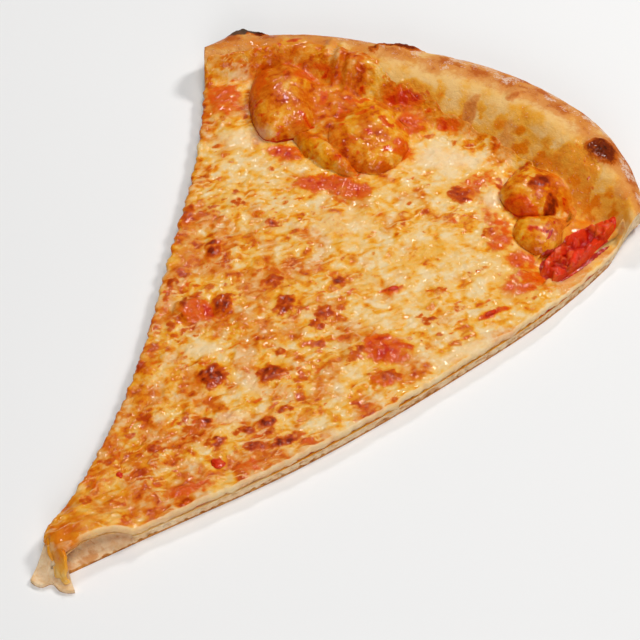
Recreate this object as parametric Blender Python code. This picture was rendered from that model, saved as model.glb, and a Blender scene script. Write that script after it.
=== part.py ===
"""A slice of cheese pizza, cut from an 18 inch thin-crust pie, lying flat with its topping up.

Four solids: the dough (base, rim, blisters, an open air pocket and a torn flap at the tip), the tomato sauce
spread on it, the melted cheese on the sauce, and a lump of crushed tomato that lies on the bare sauce beside the
right cut. Sizes are in millimetres until a mesh is made, which scales them to metres.

The plan is a fan: u runs from the left cut (0) to the right cut (1), and v from the tip (0) to the outer edge of
the rim (1). The flap hangs on below the tip, at v from 0 down to -1.
"""

import math

import bmesh
import bpy
import numpy as np

MM = 0.001

# Plan outline, with the tip near (0, 0) and the rim towards +Y. Both cuts were made by hand and bow to the left.
LEFT_CUT = [(-8.0, 6.0), (-11.5, 33.0), (-20.0, 66.0), (-35.0, 104.0), (-54.0, 149.0), (-77.0, 188.0)]
RIGHT_CUT = [(2.5, 0.5), (13.5, 21.0), (38.5, 67.0), (61.5, 122.0), (74.5, 161.0), (81.0, 204.0)]
RIM_EDGE = [(-77.0, 188.0), (-62.0, 204.0), (-19.0, 224.0), (20.0, 232.0), (59.0, 224.0), (81.0, 204.0)]
FLAP_EDGE = [(-5.0, -7.3), (-1.3, -7.1), (0.6, -4.7), (4.0, -5.3), (7.8, -3.4)]
BULGE_POWER = 1.6  # how soon the rows of the fan bend to the rim's arc

# Heights.
BASE_THICKNESS = 3.6
RIM_HEIGHTS = (13.5, 17.5, 13.0)  # at the left cut, in the middle and at the right cut
RIM_WIDTHS = (19.0, 33.0, 18.0)  # outer edge to the foot of the rim's inner slope, at the same three places
RIM_CREST_SHARE = 0.42  # share of that width from the outer edge to the crest
RIM_UNEVENNESS = 0.6
RIM_WAIST = 7.0  # height of the rim's widest line
RIM_UNDERCUT = 5.0  # how far the rim's underside is rolled in
RIM_UNDERCUT_FADE = 20.0  # how far down the two cuts the roll fades out
FLAP_THICKNESS = 1.5
LAYER_GAP = 0.3
SAUCE_THICKNESS = 0.9
CHEESE_THICKNESS = 1.9
CHEESE_EDGE_THICKNESS = 0.8
CHEESE_WAVE = 0.35  # unevenness of the melted cheese

# How far the toppings stop short of the rim's outer edge, at the left cut, in the middle and at the right cut,
# where the cheese leaves the sauce bare.
CHEESE_STOPS = (12.0, 27.0, 38.0)
SAUCE_STOPS = (10.5, 25.5, 10.0)
STOP_WANDER = 1.2

# Blisters of the dough: x, y of the middle, half length, half width, turn from +X in degrees, rise.
BLISTERS = [
    (-38.0, 181.0, 18.0, 11.5, 122.0, 9.5),  # the big pillow beside the left cut
    (-13.0, 183.0, 14.0, 11.0, 110.0, 7.5),  # its smaller neighbour
    (-5.0, 198.0, 13.0, 9.0, 70.0, 5.5),  # the one that runs into the rim
    (50.0, 189.0, 13.0, 9.5, 60.0, 8.5),  # the charred one at the right
    (57.0, 174.0, 9.0, 7.5, 40.0, 5.0),  # the smooth lobe below it
]
FOLD_START = (-24.0, 176.0)  # a fold of skin that runs down from between the two pillows
FOLD_END = (-5.0, 163.0)
FOLD_HALF_WIDTH = 6.5
FOLD_RISE = 4.0
RIM_BLISTERS = [
    (60.0, 212.0, 7.5, 6.0, 0.0, 2.5),
    (-20.0, 219.0, 11.0, 5.0, 20.0, 2.0),
]

# The tip is puffed up over an air pocket that the right cut has opened.
PUFF = (1.5, 9.0, 17.0, 13.0, 55.0, 3.4)
POCKET_LENGTH = 23.0
POCKET_START = -2.0  # along the right cut, from the tip
POCKET_DEPTH = 6.5
POCKET_RECESS = 3.5  # how far the skin over the pocket has drawn back
POCKET_FLOOR = 1.0  # thickness of the crust under the pocket
POCKET_ROOF = 1.2  # thickness of the skin over it

# The lump of crushed tomato: columns and rows of the fan that it covers, and its rise.
TOMATO_COLUMNS = (0.87, 0.97)
TOMATO_RISE = 2.2
TOMATO_EDGE_THICKNESS = 0.5

# Number of strips in the mesh. The rows under the cheese are closest at the pocket and among the blisters.
COLUMNS = 30
FLAP_ROWS = 3
POCKET_ROWS = 5
PLAIN_ROWS = 7
BLISTER_ROWS = 13
SAUCE_ROWS = 2
RIM_ROWS = 8
WALL_LEVELS = 6
PLAIN_START = 0.11
BLISTERS_START = 0.64
CHEESE_ROWS = POCKET_ROWS + PLAIN_ROWS + BLISTER_ROWS


def curve_through(points):
    """A smooth curve through the points: a function of t from 0 to 1, which is near its share of the length."""
    points = np.array(points)
    steps = np.hypot(*np.diff(points, axis=0).T)
    knots = np.concatenate([[0.0], np.cumsum(steps)]) / steps.sum()
    slopes = np.gradient(points, knots, axis=0, edge_order=2)

    def at(t):
        t = np.clip(np.asarray(t, float), 0, 1)
        k = np.clip(np.searchsorted(knots, t, side="right") - 1, 0, len(knots) - 2)
        span = knots[k + 1] - knots[k]
        s = (t - knots[k]) / span
        h01 = s * s * (3 - 2 * s)
        start, end = points[k], points[k + 1]
        pull_start = slopes[k] * (span * s * (1 - s) ** 2)[..., None]
        pull_end = slopes[k + 1] * (span * s * s * (s - 1))[..., None]
        return start + (end - start) * h01[..., None] + pull_start + pull_end

    return at


left_cut = curve_through(LEFT_CUT)
right_cut = curve_through(RIGHT_CUT)
rim_edge = curve_through(RIM_EDGE)
flap_edge = curve_through(FLAP_EDGE)


def smooth_step(x):
    x = np.clip(x, 0, 1)
    return x * x * (3 - 2 * x)


def across(u):
    """u as a column, so that it scales points."""
    return np.asarray(u, float)[..., None]


def plan(u, v):
    """The point of the plan at u, v."""
    body = left_cut(v) * (1 - across(u)) + right_cut(v) * across(u)
    chord = rim_edge(0.0) * (1 - across(u)) + rim_edge(1.0) * across(u)
    bulge = (rim_edge(u) - chord) * across(np.clip(v, 0, 1) ** BULGE_POWER)
    flap = (flap_edge(u) - body) * across(np.clip(-v, 0, 1))
    return body + bulge + flap


def width(v):
    """Length of the row at v, from cut to cut."""
    return np.linalg.norm(right_cut(v) - left_cut(v), axis=-1)


RIGHT_CUT_LENGTH = float(np.hypot(*np.diff(right_cut(np.linspace(0, 1, 200)), axis=0).T).sum())
SLICE_DEPTH = float(np.linalg.norm(plan(0.5, 1.0) - plan(0.5, 0.0)))


def rise(points, blister):
    """Height that a domed blister adds at these plan points."""
    x, y, half_length, half_width, turn, height = blister
    c, s = math.cos(math.radians(turn)), math.sin(math.radians(turn))
    dx, dy = points[..., 0] - x, points[..., 1] - y
    along, aside = (dx * c + dy * s) / half_length, (dy * c - dx * s) / half_width
    return height * np.clip(1 - along**2 - aside**2, 0, 1)


def fold_rise(points):
    """Height of the fold of skin, a ridge between its two ends."""
    start, end = np.array(FOLD_START), np.array(FOLD_END)
    run = end - start
    share = np.clip(((points - start) @ run) / (run @ run), 0, 1)
    off = np.linalg.norm(points - start - across(share) * run, axis=-1) / FOLD_HALF_WIDTH
    return FOLD_RISE * np.clip(1 - off**2, 0, 1)


def along_rim(u, values):
    """Goes from the first value at the left cut to the second over the middle and the third at the right cut."""
    left, middle, right = values
    return left + (middle - left) * smooth_step(u / 0.5) + (right - middle) * smooth_step((u - 0.78) / 0.2)


def rim_profile(u, v):
    """Height of the rim over the base: a slope up to the crest, then a round shoulder down to the waist."""
    inward = (1 - np.clip(v, 0, 1)) * SLICE_DEPTH
    breadth = along_rim(u, RIM_WIDTHS)
    to_crest = RIM_CREST_SHARE * breadth
    crest = along_rim(u, RIM_HEIGHTS) + RIM_UNEVENNESS * np.sin(9 * u + 1)
    slope = smooth_step((breadth - inward) / (breadth - to_crest))
    shoulder = np.sqrt(np.clip(1 - (1 - inward / to_crest) ** 2, 0, 1))
    inner = (crest - BASE_THICKNESS) * slope
    outer = (RIM_WAIST - BASE_THICKNESS) + (crest - RIM_WAIST) * shoulder
    return np.where(inward > to_crest, inner, outer)


def pocket(v):
    """1 along the middle of the air pocket, falling to 0 at its two ends."""
    place = (np.asarray(v, float) * RIGHT_CUT_LENGTH - POCKET_START) / POCKET_LENGTH
    return np.sqrt(np.clip(np.sin(np.pi * np.clip(place, 0, 1)), 0, 1))


def drawn_back(u, v):
    """u moved in from the right cut where the skin over the pocket has drawn back."""
    return u * (1 - POCKET_RECESS * pocket(v) / width(v))


def dough_height(u, v, points):
    """Height of the dough's upper surface over the ground."""
    bumps = np.max([rise(points, b) for b in BLISTERS] + [fold_rise(points)], axis=0)
    small = sum(rise(points, b) for b in RIM_BLISTERS)
    rim = rim_profile(u, v)
    body = BASE_THICKNESS + np.maximum(rim, bumps) + 0.35 * np.minimum(rim, bumps) + small + rise(points, PUFF)
    return body + (FLAP_THICKNESS - body) * smooth_step(-v * 1.6)


def sheet(u, v):
    """x, y, z of the dough's upper surface at u, v."""
    inner_u = drawn_back(u, v)
    points = plan(inner_u, v)
    return np.concatenate([points, across(dough_height(inner_u, v, points))], axis=-1)


def stop_rows(u):
    """v of the lines where the cheese and the sauce stop."""
    wander = STOP_WANDER * np.sin(11 * u)
    return [1 - (along_rim(u, stops) + wander) / SLICE_DEPTH for stops in (CHEESE_STOPS, SAUCE_STOPS)]


def fan_rows(u):
    """v of every row at each u, from the flap's edge to the rim's: one array of rows by columns."""
    cheese_stop, sauce_stop = stop_rows(u)
    rows = []

    def add(start, stop, count):
        rows.extend(start + (stop - start) * j / count for j in range(count))

    add(-np.ones_like(u), np.zeros_like(u), FLAP_ROWS)
    add(0 * u, 0 * u + PLAIN_START, POCKET_ROWS)
    add(0 * u + PLAIN_START, 0 * u + BLISTERS_START, PLAIN_ROWS)
    add(0 * u + BLISTERS_START, cheese_stop, BLISTER_ROWS)
    add(cheese_stop, sauce_stop, SAUCE_ROWS)
    for j in range(RIM_ROWS + 1):
        share = math.sin(0.5 * math.pi * j / RIM_ROWS) ** 0.8  # closer together on the round shoulder
        rows.append(sauce_stop + (1 - sauce_stop) * share)
    return np.array(rows)


COLUMN_U = np.linspace(0, 1, COLUMNS + 1)
ROW_V = fan_rows(COLUMN_U)
GRID_U = np.broadcast_to(COLUMN_U, ROW_V.shape)
DOUGH_TOP = sheet(GRID_U, ROW_V)
FIRST_TOPPED_ROW = FLAP_ROWS
CHEESE_END_ROW = FLAP_ROWS + CHEESE_ROWS
SAUCE_END_ROW = CHEESE_END_ROW + SAUCE_ROWS


def raised(grid, height):
    """A copy of the grid's points, moved up."""
    moved = grid.copy()
    moved[..., 2] += height
    return moved


def ring(rows, columns):
    """The (row, column) places round a block's border, counter-clockwise from above."""
    first, last, left, right = rows[0], rows[1], columns[0], columns[1]
    places = [(first, c) for c in range(left, right)]
    places += [(r, right) for r in range(first, last)]
    places += [(last, c) for c in range(right, left, -1)]
    places += [(r, left) for r in range(last, first, -1)]
    return places


def block(grid):
    """The grid's own rows and columns, as first and last."""
    return (0, grid.shape[0] - 1), (0, grid.shape[1] - 1)


def add_grid(mesh, grid, up=True):
    """Adds a grid of points as triangles that face up or down, and returns its vertices."""
    vertices = [[mesh.verts.new(point * MM) for point in row] for row in grid]
    for r in range(len(vertices) - 1):
        for c in range(len(vertices[0]) - 1):
            a, b = vertices[r][c], vertices[r][c + 1]
            d, e = vertices[r + 1][c + 1], vertices[r + 1][c]
            for corners in ((a, b, d), (a, d, e)):
                mesh.faces.new(corners if up else corners[::-1])
    return vertices


def add_wall(mesh, loops):
    """Joins closed loops of vertices, each below the one before it, with triangles that face out."""
    for upper, lower in zip(loops, loops[1:]):
        for k in range(len(upper)):
            n = (k + 1) % len(upper)
            mesh.faces.new((upper[k], lower[k], lower[n]))
            mesh.faces.new((upper[k], lower[n], upper[n]))


def finish(name, mesh, material):
    """Makes an object of the bmesh, smooth but for its cut edges."""
    data = bpy.data.meshes.new(name)
    mesh.to_mesh(data)
    mesh.free()
    data.materials.append(material)
    data.shade_smooth()
    data.set_sharp_from_angle(angle=math.radians(50))
    made = bpy.data.objects.new(name, data)
    bpy.context.scene.collection.objects.link(made)
    return made


def material(name, colour, roughness):
    made = bpy.data.materials.new(name)
    made.use_nodes = True
    shader = made.node_tree.nodes["Principled BSDF"]
    shader.inputs["Base Color"].default_value = (*colour, 1)
    shader.inputs["Roughness"].default_value = roughness
    shader.inputs["Metallic"].default_value = 0.0
    return made


def rim_weight(place):
    """How much of the rim's undercut a point of the border has: all along the rim, and less down the cuts."""
    row, column = place
    inward = (1 - ROW_V[row, column]) * SLICE_DEPTH
    return float(np.clip(1 - inward / RIM_UNDERCUT_FADE, 0, 1))


def wall_point(place, share):
    """A point of the dough's side. share is 0 at its upper edge and 1 on the ground."""
    row, column = place
    u, v = float(COLUMN_U[column]), float(ROW_V[row, column])
    top = DOUGH_TOP[row, column]
    height = top[2] * (1 - share)
    open_here = float(pocket(v)) if column == COLUMNS else 0.0
    if open_here > 0:
        # Down the pocket's section: lip, roof, back wall, floor and the edge of the crust below.
        lip, floor = 1 - POCKET_ROOF / top[2], POCKET_FLOOR / top[2]
        heights = [1, lip, 0.75 * lip + 0.25 * floor, 0.5 * (lip + floor), 1.3 * floor, floor, 0]
        depths = [0, 0, 0.8, 1.0, 0.75, 0, 0]
        back = [1, 1, 1, 0.5, 0, 0, 0]
        level = round(share * WALL_LEVELS)
        height = top[2] * (heights[level] * open_here + (1 - share) * (1 - open_here))
        inset = (POCKET_DEPTH * depths[level] + POCKET_RECESS * back[level]) * open_here
        x, y = plan(u * (1 - inset / float(width(v))), v)
        return np.array([x, y, height])
    undercut = RIM_UNDERCUT * rim_weight(place)
    if undercut > 0:
        turn = 0.5 * math.pi * share
        height = top[2] * (1 - math.sin(turn)) if row == len(ROW_V) - 1 else height
        inward = plan(0.5, 0.55) - top[:2]
        reach = undercut * (1 - math.cos(turn)) / np.linalg.norm(inward)
        return np.array([*(top[:2] + inward * reach), height])
    return np.array([*top[:2], height])


def build_dough():
    mesh = bmesh.new()
    top = add_grid(mesh, DOUGH_TOP)
    places = ring(*block(DOUGH_TOP))
    loops = [[top[r][c] for r, c in places]]
    for level in range(1, WALL_LEVELS + 1):
        share = level / WALL_LEVELS
        loops.append([mesh.verts.new(wall_point(place, share) * MM) for place in places])
    add_wall(mesh, loops)
    mesh.faces.new(loops[-1][::-1])
    return finish("dough", mesh, material("baked dough", (0.72, 0.48, 0.24), 0.7))


def build_layer(name, low, high, paint):
    """A closed slab between two grids of the same shape."""
    mesh = bmesh.new()
    top = add_grid(mesh, high)
    bottom = add_grid(mesh, low, up=False)
    places = ring(*block(high))
    add_wall(mesh, [[top[r][c] for r, c in places], [bottom[r][c] for r, c in places]])
    return finish(name, mesh, paint)


def build_sauce(low):
    high = raised(low, SAUCE_THICKNESS)
    return build_layer("sauce", low, high, material("tomato sauce", (0.58, 0.07, 0.02), 0.35)), high


def build_cheese(low):
    """Uneven melted cheese, thinner where it stops short of the rim."""
    rows = low.shape[0]
    to_edge = (rows - 1 - np.arange(rows))[:, None] / 4
    wave = np.sin(low[..., 0] / 5.3) * np.sin(low[..., 1] / 8.1 + low[..., 0] / 17)
    full = CHEESE_THICKNESS + CHEESE_WAVE * wave
    thickness = CHEESE_EDGE_THICKNESS + (full - CHEESE_EDGE_THICKNESS) * smooth_step(to_edge)
    high = raised(low, thickness)
    return build_layer("cheese", low, high, material("melted cheese", (0.87, 0.58, 0.2), 0.4))


def build_tomato(sauce_top):
    """A lump that is thickest in its middle, on the sauce between the cheese's edge and the sauce's."""
    first, last = (round(share * COLUMNS) for share in TOMATO_COLUMNS)
    rows = slice(CHEESE_END_ROW - FIRST_TOPPED_ROW, SAUCE_END_ROW - FIRST_TOPPED_ROW + 1)
    low = raised(sauce_top[rows, first : last + 1], LAYER_GAP)
    middle = low[..., :2].reshape(-1, 2).mean(axis=0)
    reach = np.linalg.norm(low[..., :2] - middle, axis=-1)
    dome = np.sqrt(np.clip(1 - (reach / reach.max()) ** 2, 0, 1))
    high = raised(low, TOMATO_EDGE_THICKNESS + TOMATO_RISE * dome)
    return build_layer("crushed_tomato", low, high, material("crushed tomato", (0.62, 0.04, 0.015), 0.25))


def clear_scene():
    for old in list(bpy.data.objects):
        bpy.data.objects.remove(old)


def stand_on_origin(objects):
    """Moves the whole slice so that the middle of its plan is at the origin. It already lies on z = 0."""
    corners = np.array([v.co for made in objects for v in made.data.vertices])
    middle = (corners.min(axis=0) + corners.max(axis=0)) / 2
    for made in objects:
        for vertex in made.data.vertices:
            vertex.co.x -= middle[0]
            vertex.co.y -= middle[1]


def main():
    clear_scene()
    dough = build_dough()
    topped = raised(DOUGH_TOP[FIRST_TOPPED_ROW : SAUCE_END_ROW + 1], LAYER_GAP)
    sauce, sauce_top = build_sauce(topped)
    cheese = build_cheese(raised(sauce_top[: CHEESE_ROWS + 1], LAYER_GAP))
    tomato = build_tomato(sauce_top)
    stand_on_origin([dough, sauce, cheese, tomato])


main()
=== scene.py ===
"""Looks of the cheese pizza slice: dough, sauce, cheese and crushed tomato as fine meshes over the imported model.

Lengths are in millimetres, in the outline's own axes (tip near 0, 0, rim towards +Y), until a mesh is made.
"""

import itertools
import math

import bpy
import numpy as np
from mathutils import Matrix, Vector


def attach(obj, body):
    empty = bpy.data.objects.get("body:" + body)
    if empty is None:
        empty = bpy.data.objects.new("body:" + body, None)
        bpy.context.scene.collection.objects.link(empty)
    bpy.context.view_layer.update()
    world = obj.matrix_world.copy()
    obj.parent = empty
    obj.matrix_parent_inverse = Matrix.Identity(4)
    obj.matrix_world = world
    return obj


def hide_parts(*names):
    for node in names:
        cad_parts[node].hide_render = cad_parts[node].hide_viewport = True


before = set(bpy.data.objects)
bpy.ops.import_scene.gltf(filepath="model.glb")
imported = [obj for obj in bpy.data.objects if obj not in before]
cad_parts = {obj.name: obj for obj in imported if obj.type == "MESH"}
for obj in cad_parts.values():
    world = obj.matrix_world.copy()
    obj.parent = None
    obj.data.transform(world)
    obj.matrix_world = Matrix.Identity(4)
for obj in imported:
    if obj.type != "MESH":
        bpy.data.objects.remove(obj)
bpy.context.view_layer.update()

MM = 0.001

# ------------------------------------------------------------------------------
# The outline and heights of the part, the same as its solids have
# ------------------------------------------------------------------------------

LEFT_CUT = [(-8.0, 6.0), (-11.5, 33.0), (-20.0, 66.0), (-35.0, 104.0), (-54.0, 149.0), (-77.0, 188.0)]
RIGHT_CUT = [(2.5, 0.5), (13.5, 21.0), (38.5, 67.0), (61.5, 122.0), (74.5, 161.0), (81.0, 204.0)]
RIM_EDGE = [(-77.0, 188.0), (-62.0, 204.0), (-19.0, 224.0), (20.0, 232.0), (59.0, 224.0), (81.0, 204.0)]
FLAP_EDGE = [(-5.0, -7.3), (-1.3, -7.1), (0.6, -4.7), (4.0, -5.3), (7.8, -3.4)]
BULGE_POWER = 1.6

BASE_THICKNESS = 3.6
RIM_HEIGHTS = (13.5, 17.5, 13.0)
RIM_WIDTHS = (19.0, 33.0, 18.0)
RIM_CREST_SHARE = 0.42
RIM_UNEVENNESS = 0.6
RIM_WAIST = 7.0
RIM_UNDERCUT = 5.0
RIM_UNDERCUT_FADE = 20.0
FLAP_THICKNESS = 1.5
CHEESE_STOPS = (9.5, 24.0, 26.0)
CHEESE_BY_TOMATO = (46.0, 13.0)  # inner end of the bare place, and where the strip of cheese along the cut stops
CHEESE_OVER_BLISTER = (8.0, 0.27, 0.13)  # how much farther it goes there, at which u, over what share of u
SAUCE_BEHIND = 6.0  # the sauce stops this much before the cheese
SAUCE_STOP_TOMATO = (40.0, 15.0)  # but by the crushed tomato it stops here, farther out at the right cut
STOP_WANDER = 1.2
PUFF = (1.5, 9.0, 17.0, 13.0, 55.0, 3.4)
POCKET_LENGTH = 23.0
POCKET_START = -2.0
POCKET_DEPTH = 6.5
POCKET_RECESS = 3.5
POCKET_FLOOR = 1.0
POCKET_ROOF = 1.2


def curve_through(points):
    """A smooth curve through the points: a function of t from 0 to 1."""
    points = np.array(points)
    steps = np.hypot(*np.diff(points, axis=0).T)
    knots = np.concatenate([[0.0], np.cumsum(steps)]) / steps.sum()
    slopes = np.gradient(points, knots, axis=0, edge_order=2)

    def at(t):
        t = np.clip(np.asarray(t, float), 0, 1)
        k = np.clip(np.searchsorted(knots, t, side="right") - 1, 0, len(knots) - 2)
        span = knots[k + 1] - knots[k]
        s = (t - knots[k]) / span
        h01 = s * s * (3 - 2 * s)
        start, end = points[k], points[k + 1]
        pull_start = slopes[k] * (span * s * (1 - s) ** 2)[..., None]
        pull_end = slopes[k + 1] * (span * s * s * (s - 1))[..., None]
        return start + (end - start) * h01[..., None] + pull_start + pull_end

    return at


left_cut = curve_through(LEFT_CUT)
right_cut = curve_through(RIGHT_CUT)
rim_edge = curve_through(RIM_EDGE)
flap_edge = curve_through(FLAP_EDGE)


def smooth_step(x, low=0.0, high=1.0):
    x = np.clip((x - low) / (high - low), 0, 1)
    return x * x * (3 - 2 * x)


def across(u):
    return np.asarray(u, float)[..., None]


def plan(u, v):
    """The point of the plan at u (0 at the left cut, 1 at the right) and v (0 at the tip, 1 at the rim's edge)."""
    body = left_cut(v) * (1 - across(u)) + right_cut(v) * across(u)
    chord = rim_edge(0.0) * (1 - across(u)) + rim_edge(1.0) * across(u)
    bulge = (rim_edge(u) - chord) * across(np.clip(v, 0, 1) ** BULGE_POWER)
    flap = (flap_edge(u) - body) * across(np.clip(-v, 0, 1))
    return body + bulge + flap


def width(v):
    return np.linalg.norm(right_cut(v) - left_cut(v), axis=-1)


RIGHT_CUT_LENGTH = float(np.hypot(*np.diff(right_cut(np.linspace(0, 1, 200)), axis=0).T).sum())
SLICE_DEPTH = float(np.linalg.norm(plan(0.5, 1.0) - plan(0.5, 0.0)))


def along_rim(u, values):
    """Goes from the value at the left cut to that over the middle and that at the right cut."""
    left, middle, right = values
    return left + (middle - left) * smooth_step(u / 0.5) + (right - middle) * smooth_step((u - 0.78) / 0.2)


def pocket(v):
    place = (np.asarray(v, float) * RIGHT_CUT_LENGTH - POCKET_START) / POCKET_LENGTH
    return np.sqrt(np.clip(np.sin(np.pi * np.clip(place, 0, 1)), 0, 1))


def cheese_stop(u, wander=0.0):
    """v of the line where the cheese stops."""
    farther, middle, half = CHEESE_OVER_BLISTER
    inward = along_rim(u, CHEESE_STOPS) - farther * np.exp(-(((u - middle) / half) ** 2))
    bare_end, strip_end = CHEESE_BY_TOMATO
    inward = inward + (bare_end - inward) * smooth_step(u, 0.858, 0.905)
    inward = inward + (strip_end - inward) * smooth_step(u, 0.95, 0.98)
    return 1 - (inward + STOP_WANDER * np.sin(11 * u) + wander) / SLICE_DEPTH


def sauce_stop(u, wander=0.0):
    """v of the line where the sauce stops: hidden under the cheese, but bare near the right cut."""
    inward = (1 - cheese_stop(u)) * SLICE_DEPTH + SAUCE_BEHIND
    inner, outer = SAUCE_STOP_TOMATO
    tomato = inner + (outer - inner) * smooth_step(u, 0.865, 0.95) + 3.5 * smooth_step(u, 0.955, 0.978)
    bare = smooth_step(u, 0.84, 0.87)
    return 1 - (inward * (1 - bare) + (tomato + wander) * bare) / SLICE_DEPTH


CAD_CORNER = min((v.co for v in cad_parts["dough"].data.vertices), key=lambda co: co.x)
OFFSET = np.array([CAD_CORNER.x / MM - RIM_EDGE[0][0], CAD_CORNER.y / MM - RIM_EDGE[0][1], 0.0])

# ------------------------------------------------------------------------------
# Noise
# ------------------------------------------------------------------------------


def lattice_hash(cell, seed):
    """A well mixed 32-bit number for each integer place."""
    low = (cell & 0xFFFFFFFF).astype(np.uint32)
    h = low[..., 0] * np.uint32(0x8DA6B343)
    h ^= low[..., 1] * np.uint32(0xD8163841)
    h ^= low[..., 2] * np.uint32(0xCB1AB31F)
    h ^= np.uint32((seed * 0x9E3779B9 + 0x7F4A7C15) & 0xFFFFFFFF)
    h ^= h >> np.uint32(15)
    h *= np.uint32(0x2C1B3C6D)
    h ^= h >> np.uint32(12)
    h *= np.uint32(0x297A2D39)
    h ^= h >> np.uint32(15)
    return h


def hash_vector(h):
    """Three numbers from 0 to 1 out of each hash."""
    parts = [(h >> np.uint32(shift)) & np.uint32(1023) for shift in (0, 10, 20)]
    return np.stack(parts, axis=-1) / 1023.0


def noise(p, seed=0):
    """Gradient noise, about -1 to 1, with features about 1 unit across."""
    base = np.floor(p)
    f = p - base
    cell = base.astype(np.int64)
    w = f**3 * (f * (f * 6 - 15) + 10)
    total = 0.0
    for corner in itertools.product((0, 1), repeat=3):
        c = np.array(corner)
        gradient = hash_vector(lattice_hash(cell + c, seed)) * 2 - 1
        weight = np.prod(np.where(c == 1, w, 1 - w), axis=-1)
        total = total + weight * ((f - c) * gradient).sum(axis=-1)
    return total * 1.7


def fbm(p, size, octaves=3, seed=0, gain=0.5):
    """Noise of several sizes, the largest of them size across."""
    total, amount, norm = 0.0, 1.0, 0.0
    for k in range(octaves):
        total = total + amount * noise(p / size * 2**k, seed + 17 * k)
        norm += amount**2
        amount *= gain
    return total / math.sqrt(norm)


def cells(p, size, seed=0):
    """Distance to the nearest of scattered points, in units of their spacing, and that point's own number."""
    q = p / size
    base = np.floor(q)
    cell = base.astype(np.int64)
    nearest = np.full(q.shape[:-1], 9.0)
    number = np.zeros(q.shape[:-1])
    for step in itertools.product((-1, 0, 1), repeat=3):
        h = lattice_hash(cell + np.array(step), seed)
        away = np.linalg.norm(base + step + hash_vector(h) - q, axis=-1)
        closer = away < nearest
        nearest = np.where(closer, away, nearest)
        number = np.where(closer, (h % np.uint32(997)) / 997.0, number)
    return nearest, number


def flat(points):
    """Plan points as points on the ground, for noise that shouldn't change with height."""
    return np.concatenate([points[..., :2], np.zeros(points.shape[:-1] + (1,))], axis=-1)


def turned(points, degrees, stretch):
    """Points turned so that features of the noise lie at that angle from +X, and are stretch times longer there."""
    c, s = math.cos(math.radians(degrees)), math.sin(math.radians(degrees))
    x, y = points[..., 0], points[..., 1]
    return np.stack([(x * c + y * s) / stretch, y * c - x * s, np.zeros_like(x)], axis=-1)


# ------------------------------------------------------------------------------
# Blisters of the dough: domes whose sides can bulge out over their foot
# ------------------------------------------------------------------------------

def oval(points, x, y, half_length, half_width, turn):
    """Distance from the middle of an oval, 1 on its edge."""
    c, s = math.cos(math.radians(turn)), math.sin(math.radians(turn))
    dx, dy = points[..., 0] - x, points[..., 1] - y
    return np.hypot((dx * c + dy * s) / half_length, (dy * c - dx * s) / half_width)


# x, y, half length, half width, turn of the long axis, rise, direction of the overhang, its strength
DOMES = [
    (-43.0, 185.5, 20.5, 12.0, 117.0, 9.6, 250.0, 1.0),
    (-10.5, 186.5, 17.0, 13.5, 108.0, 7.8, 285.0, 0.8),
    (-5.0, 200.0, 10.0, 8.5, 0.0, 5.6, 310.0, 0.2),
    (-19.0, 171.5, 14.0, 4.6, -9.0, 6.0, 258.0, 0.8),
    (48.0, 195.0, 13.5, 11.0, 60.0, 8.4, 230.0, 1.0),
    (57.5, 181.0, 10.5, 8.5, 40.0, 5.8, 265.0, 0.9),
]
DOME_REACH = 1.35  # how far out the ground round a dome is stretched, in radii
# Broad swellings that join the blisters to each other and to the rim: x, y, half length, half width, turn, rise
PADS = [
    (-30.0, 192.0, 26.0, 14.0, 20.0, 6.4),
    (-22.0, 181.0, 16.0, 11.0, 10.0, 6.0),
    (-6.0, 196.0, 17.0, 13.0, 60.0, 4.6),
    (52.0, 199.0, 17.0, 12.0, 55.0, 5.4),
    (63.0, 187.0, 9.0, 7.0, 55.0, 3.4),
]


def dome_shift(points, dome):
    """How far a dome moves these plan points outwards, and how high it lifts them."""
    x, y, half_length, half_width, turn, rise, lean, strength = dome
    c, s = math.cos(math.radians(turn)), math.sin(math.radians(turn))
    dx, dy = points[..., 0] - x, points[..., 1] - y
    along, aside = (dx * c + dy * s) / half_length, (dy * c - dx * s) / half_width
    bearing = np.arctan2(aside, along)
    wobble = 1 + 0.04 * np.sin(3 * bearing + x) + 0.03 * np.sin(5 * bearing + 2 * y)
    radius = np.hypot(along, aside) / wobble + 1e-9
    lean = math.radians(lean)
    facing = (dx * math.cos(lean) + dy * math.sin(lean)) / (np.hypot(dx, dy) + 1e-9)
    end = np.radians(48 + 64 * strength * smooth_step(facing, -0.55, 0.35))
    angle = end * np.clip(radius, 0, 1)
    widest = np.sin(np.minimum(end, math.pi / 2))
    inside = np.sin(angle) / widest
    foot = np.sin(end) / widest
    outside = foot + (DOME_REACH - foot) * (radius - 1) / (DOME_REACH - 1)
    target = np.where(radius <= 1, inside, np.where(radius < DOME_REACH, outside, radius))
    target = radius + (target - radius) * smooth_step(facing, -0.7, 0.1)
    height = np.where(radius <= 1, (np.cos(angle) - np.cos(end)) / (1 - np.cos(end)), 0.0)
    grow = target / radius - 1
    return np.stack([dx * grow, dy * grow], axis=-1), rise * height


def domes(points):
    """All domes together: the shift of the plan points, and the lift."""
    shifts, lifts = zip(*(dome_shift(points, dome) for dome in DOMES))
    lifts = np.array(lifts)
    shift = np.zeros_like(points)
    for k, one in enumerate(shifts):
        others = np.delete(lifts, k, axis=0).max(axis=0)
        shift += one * across(1 - smooth_step(others, 0.0, 3.0) * (others > lifts[k]))
    pads = [pad[5] * np.clip(1 - oval(points, *pad[:5]) ** 2, 0, 1) ** 1.2 for pad in PADS]
    pad = np.max(pads, axis=0)
    lift = (lifts**4).sum(axis=0) ** 0.25
    return shift, (lift**3 + (0.75 * pad) ** 3) ** (1 / 3)


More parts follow.
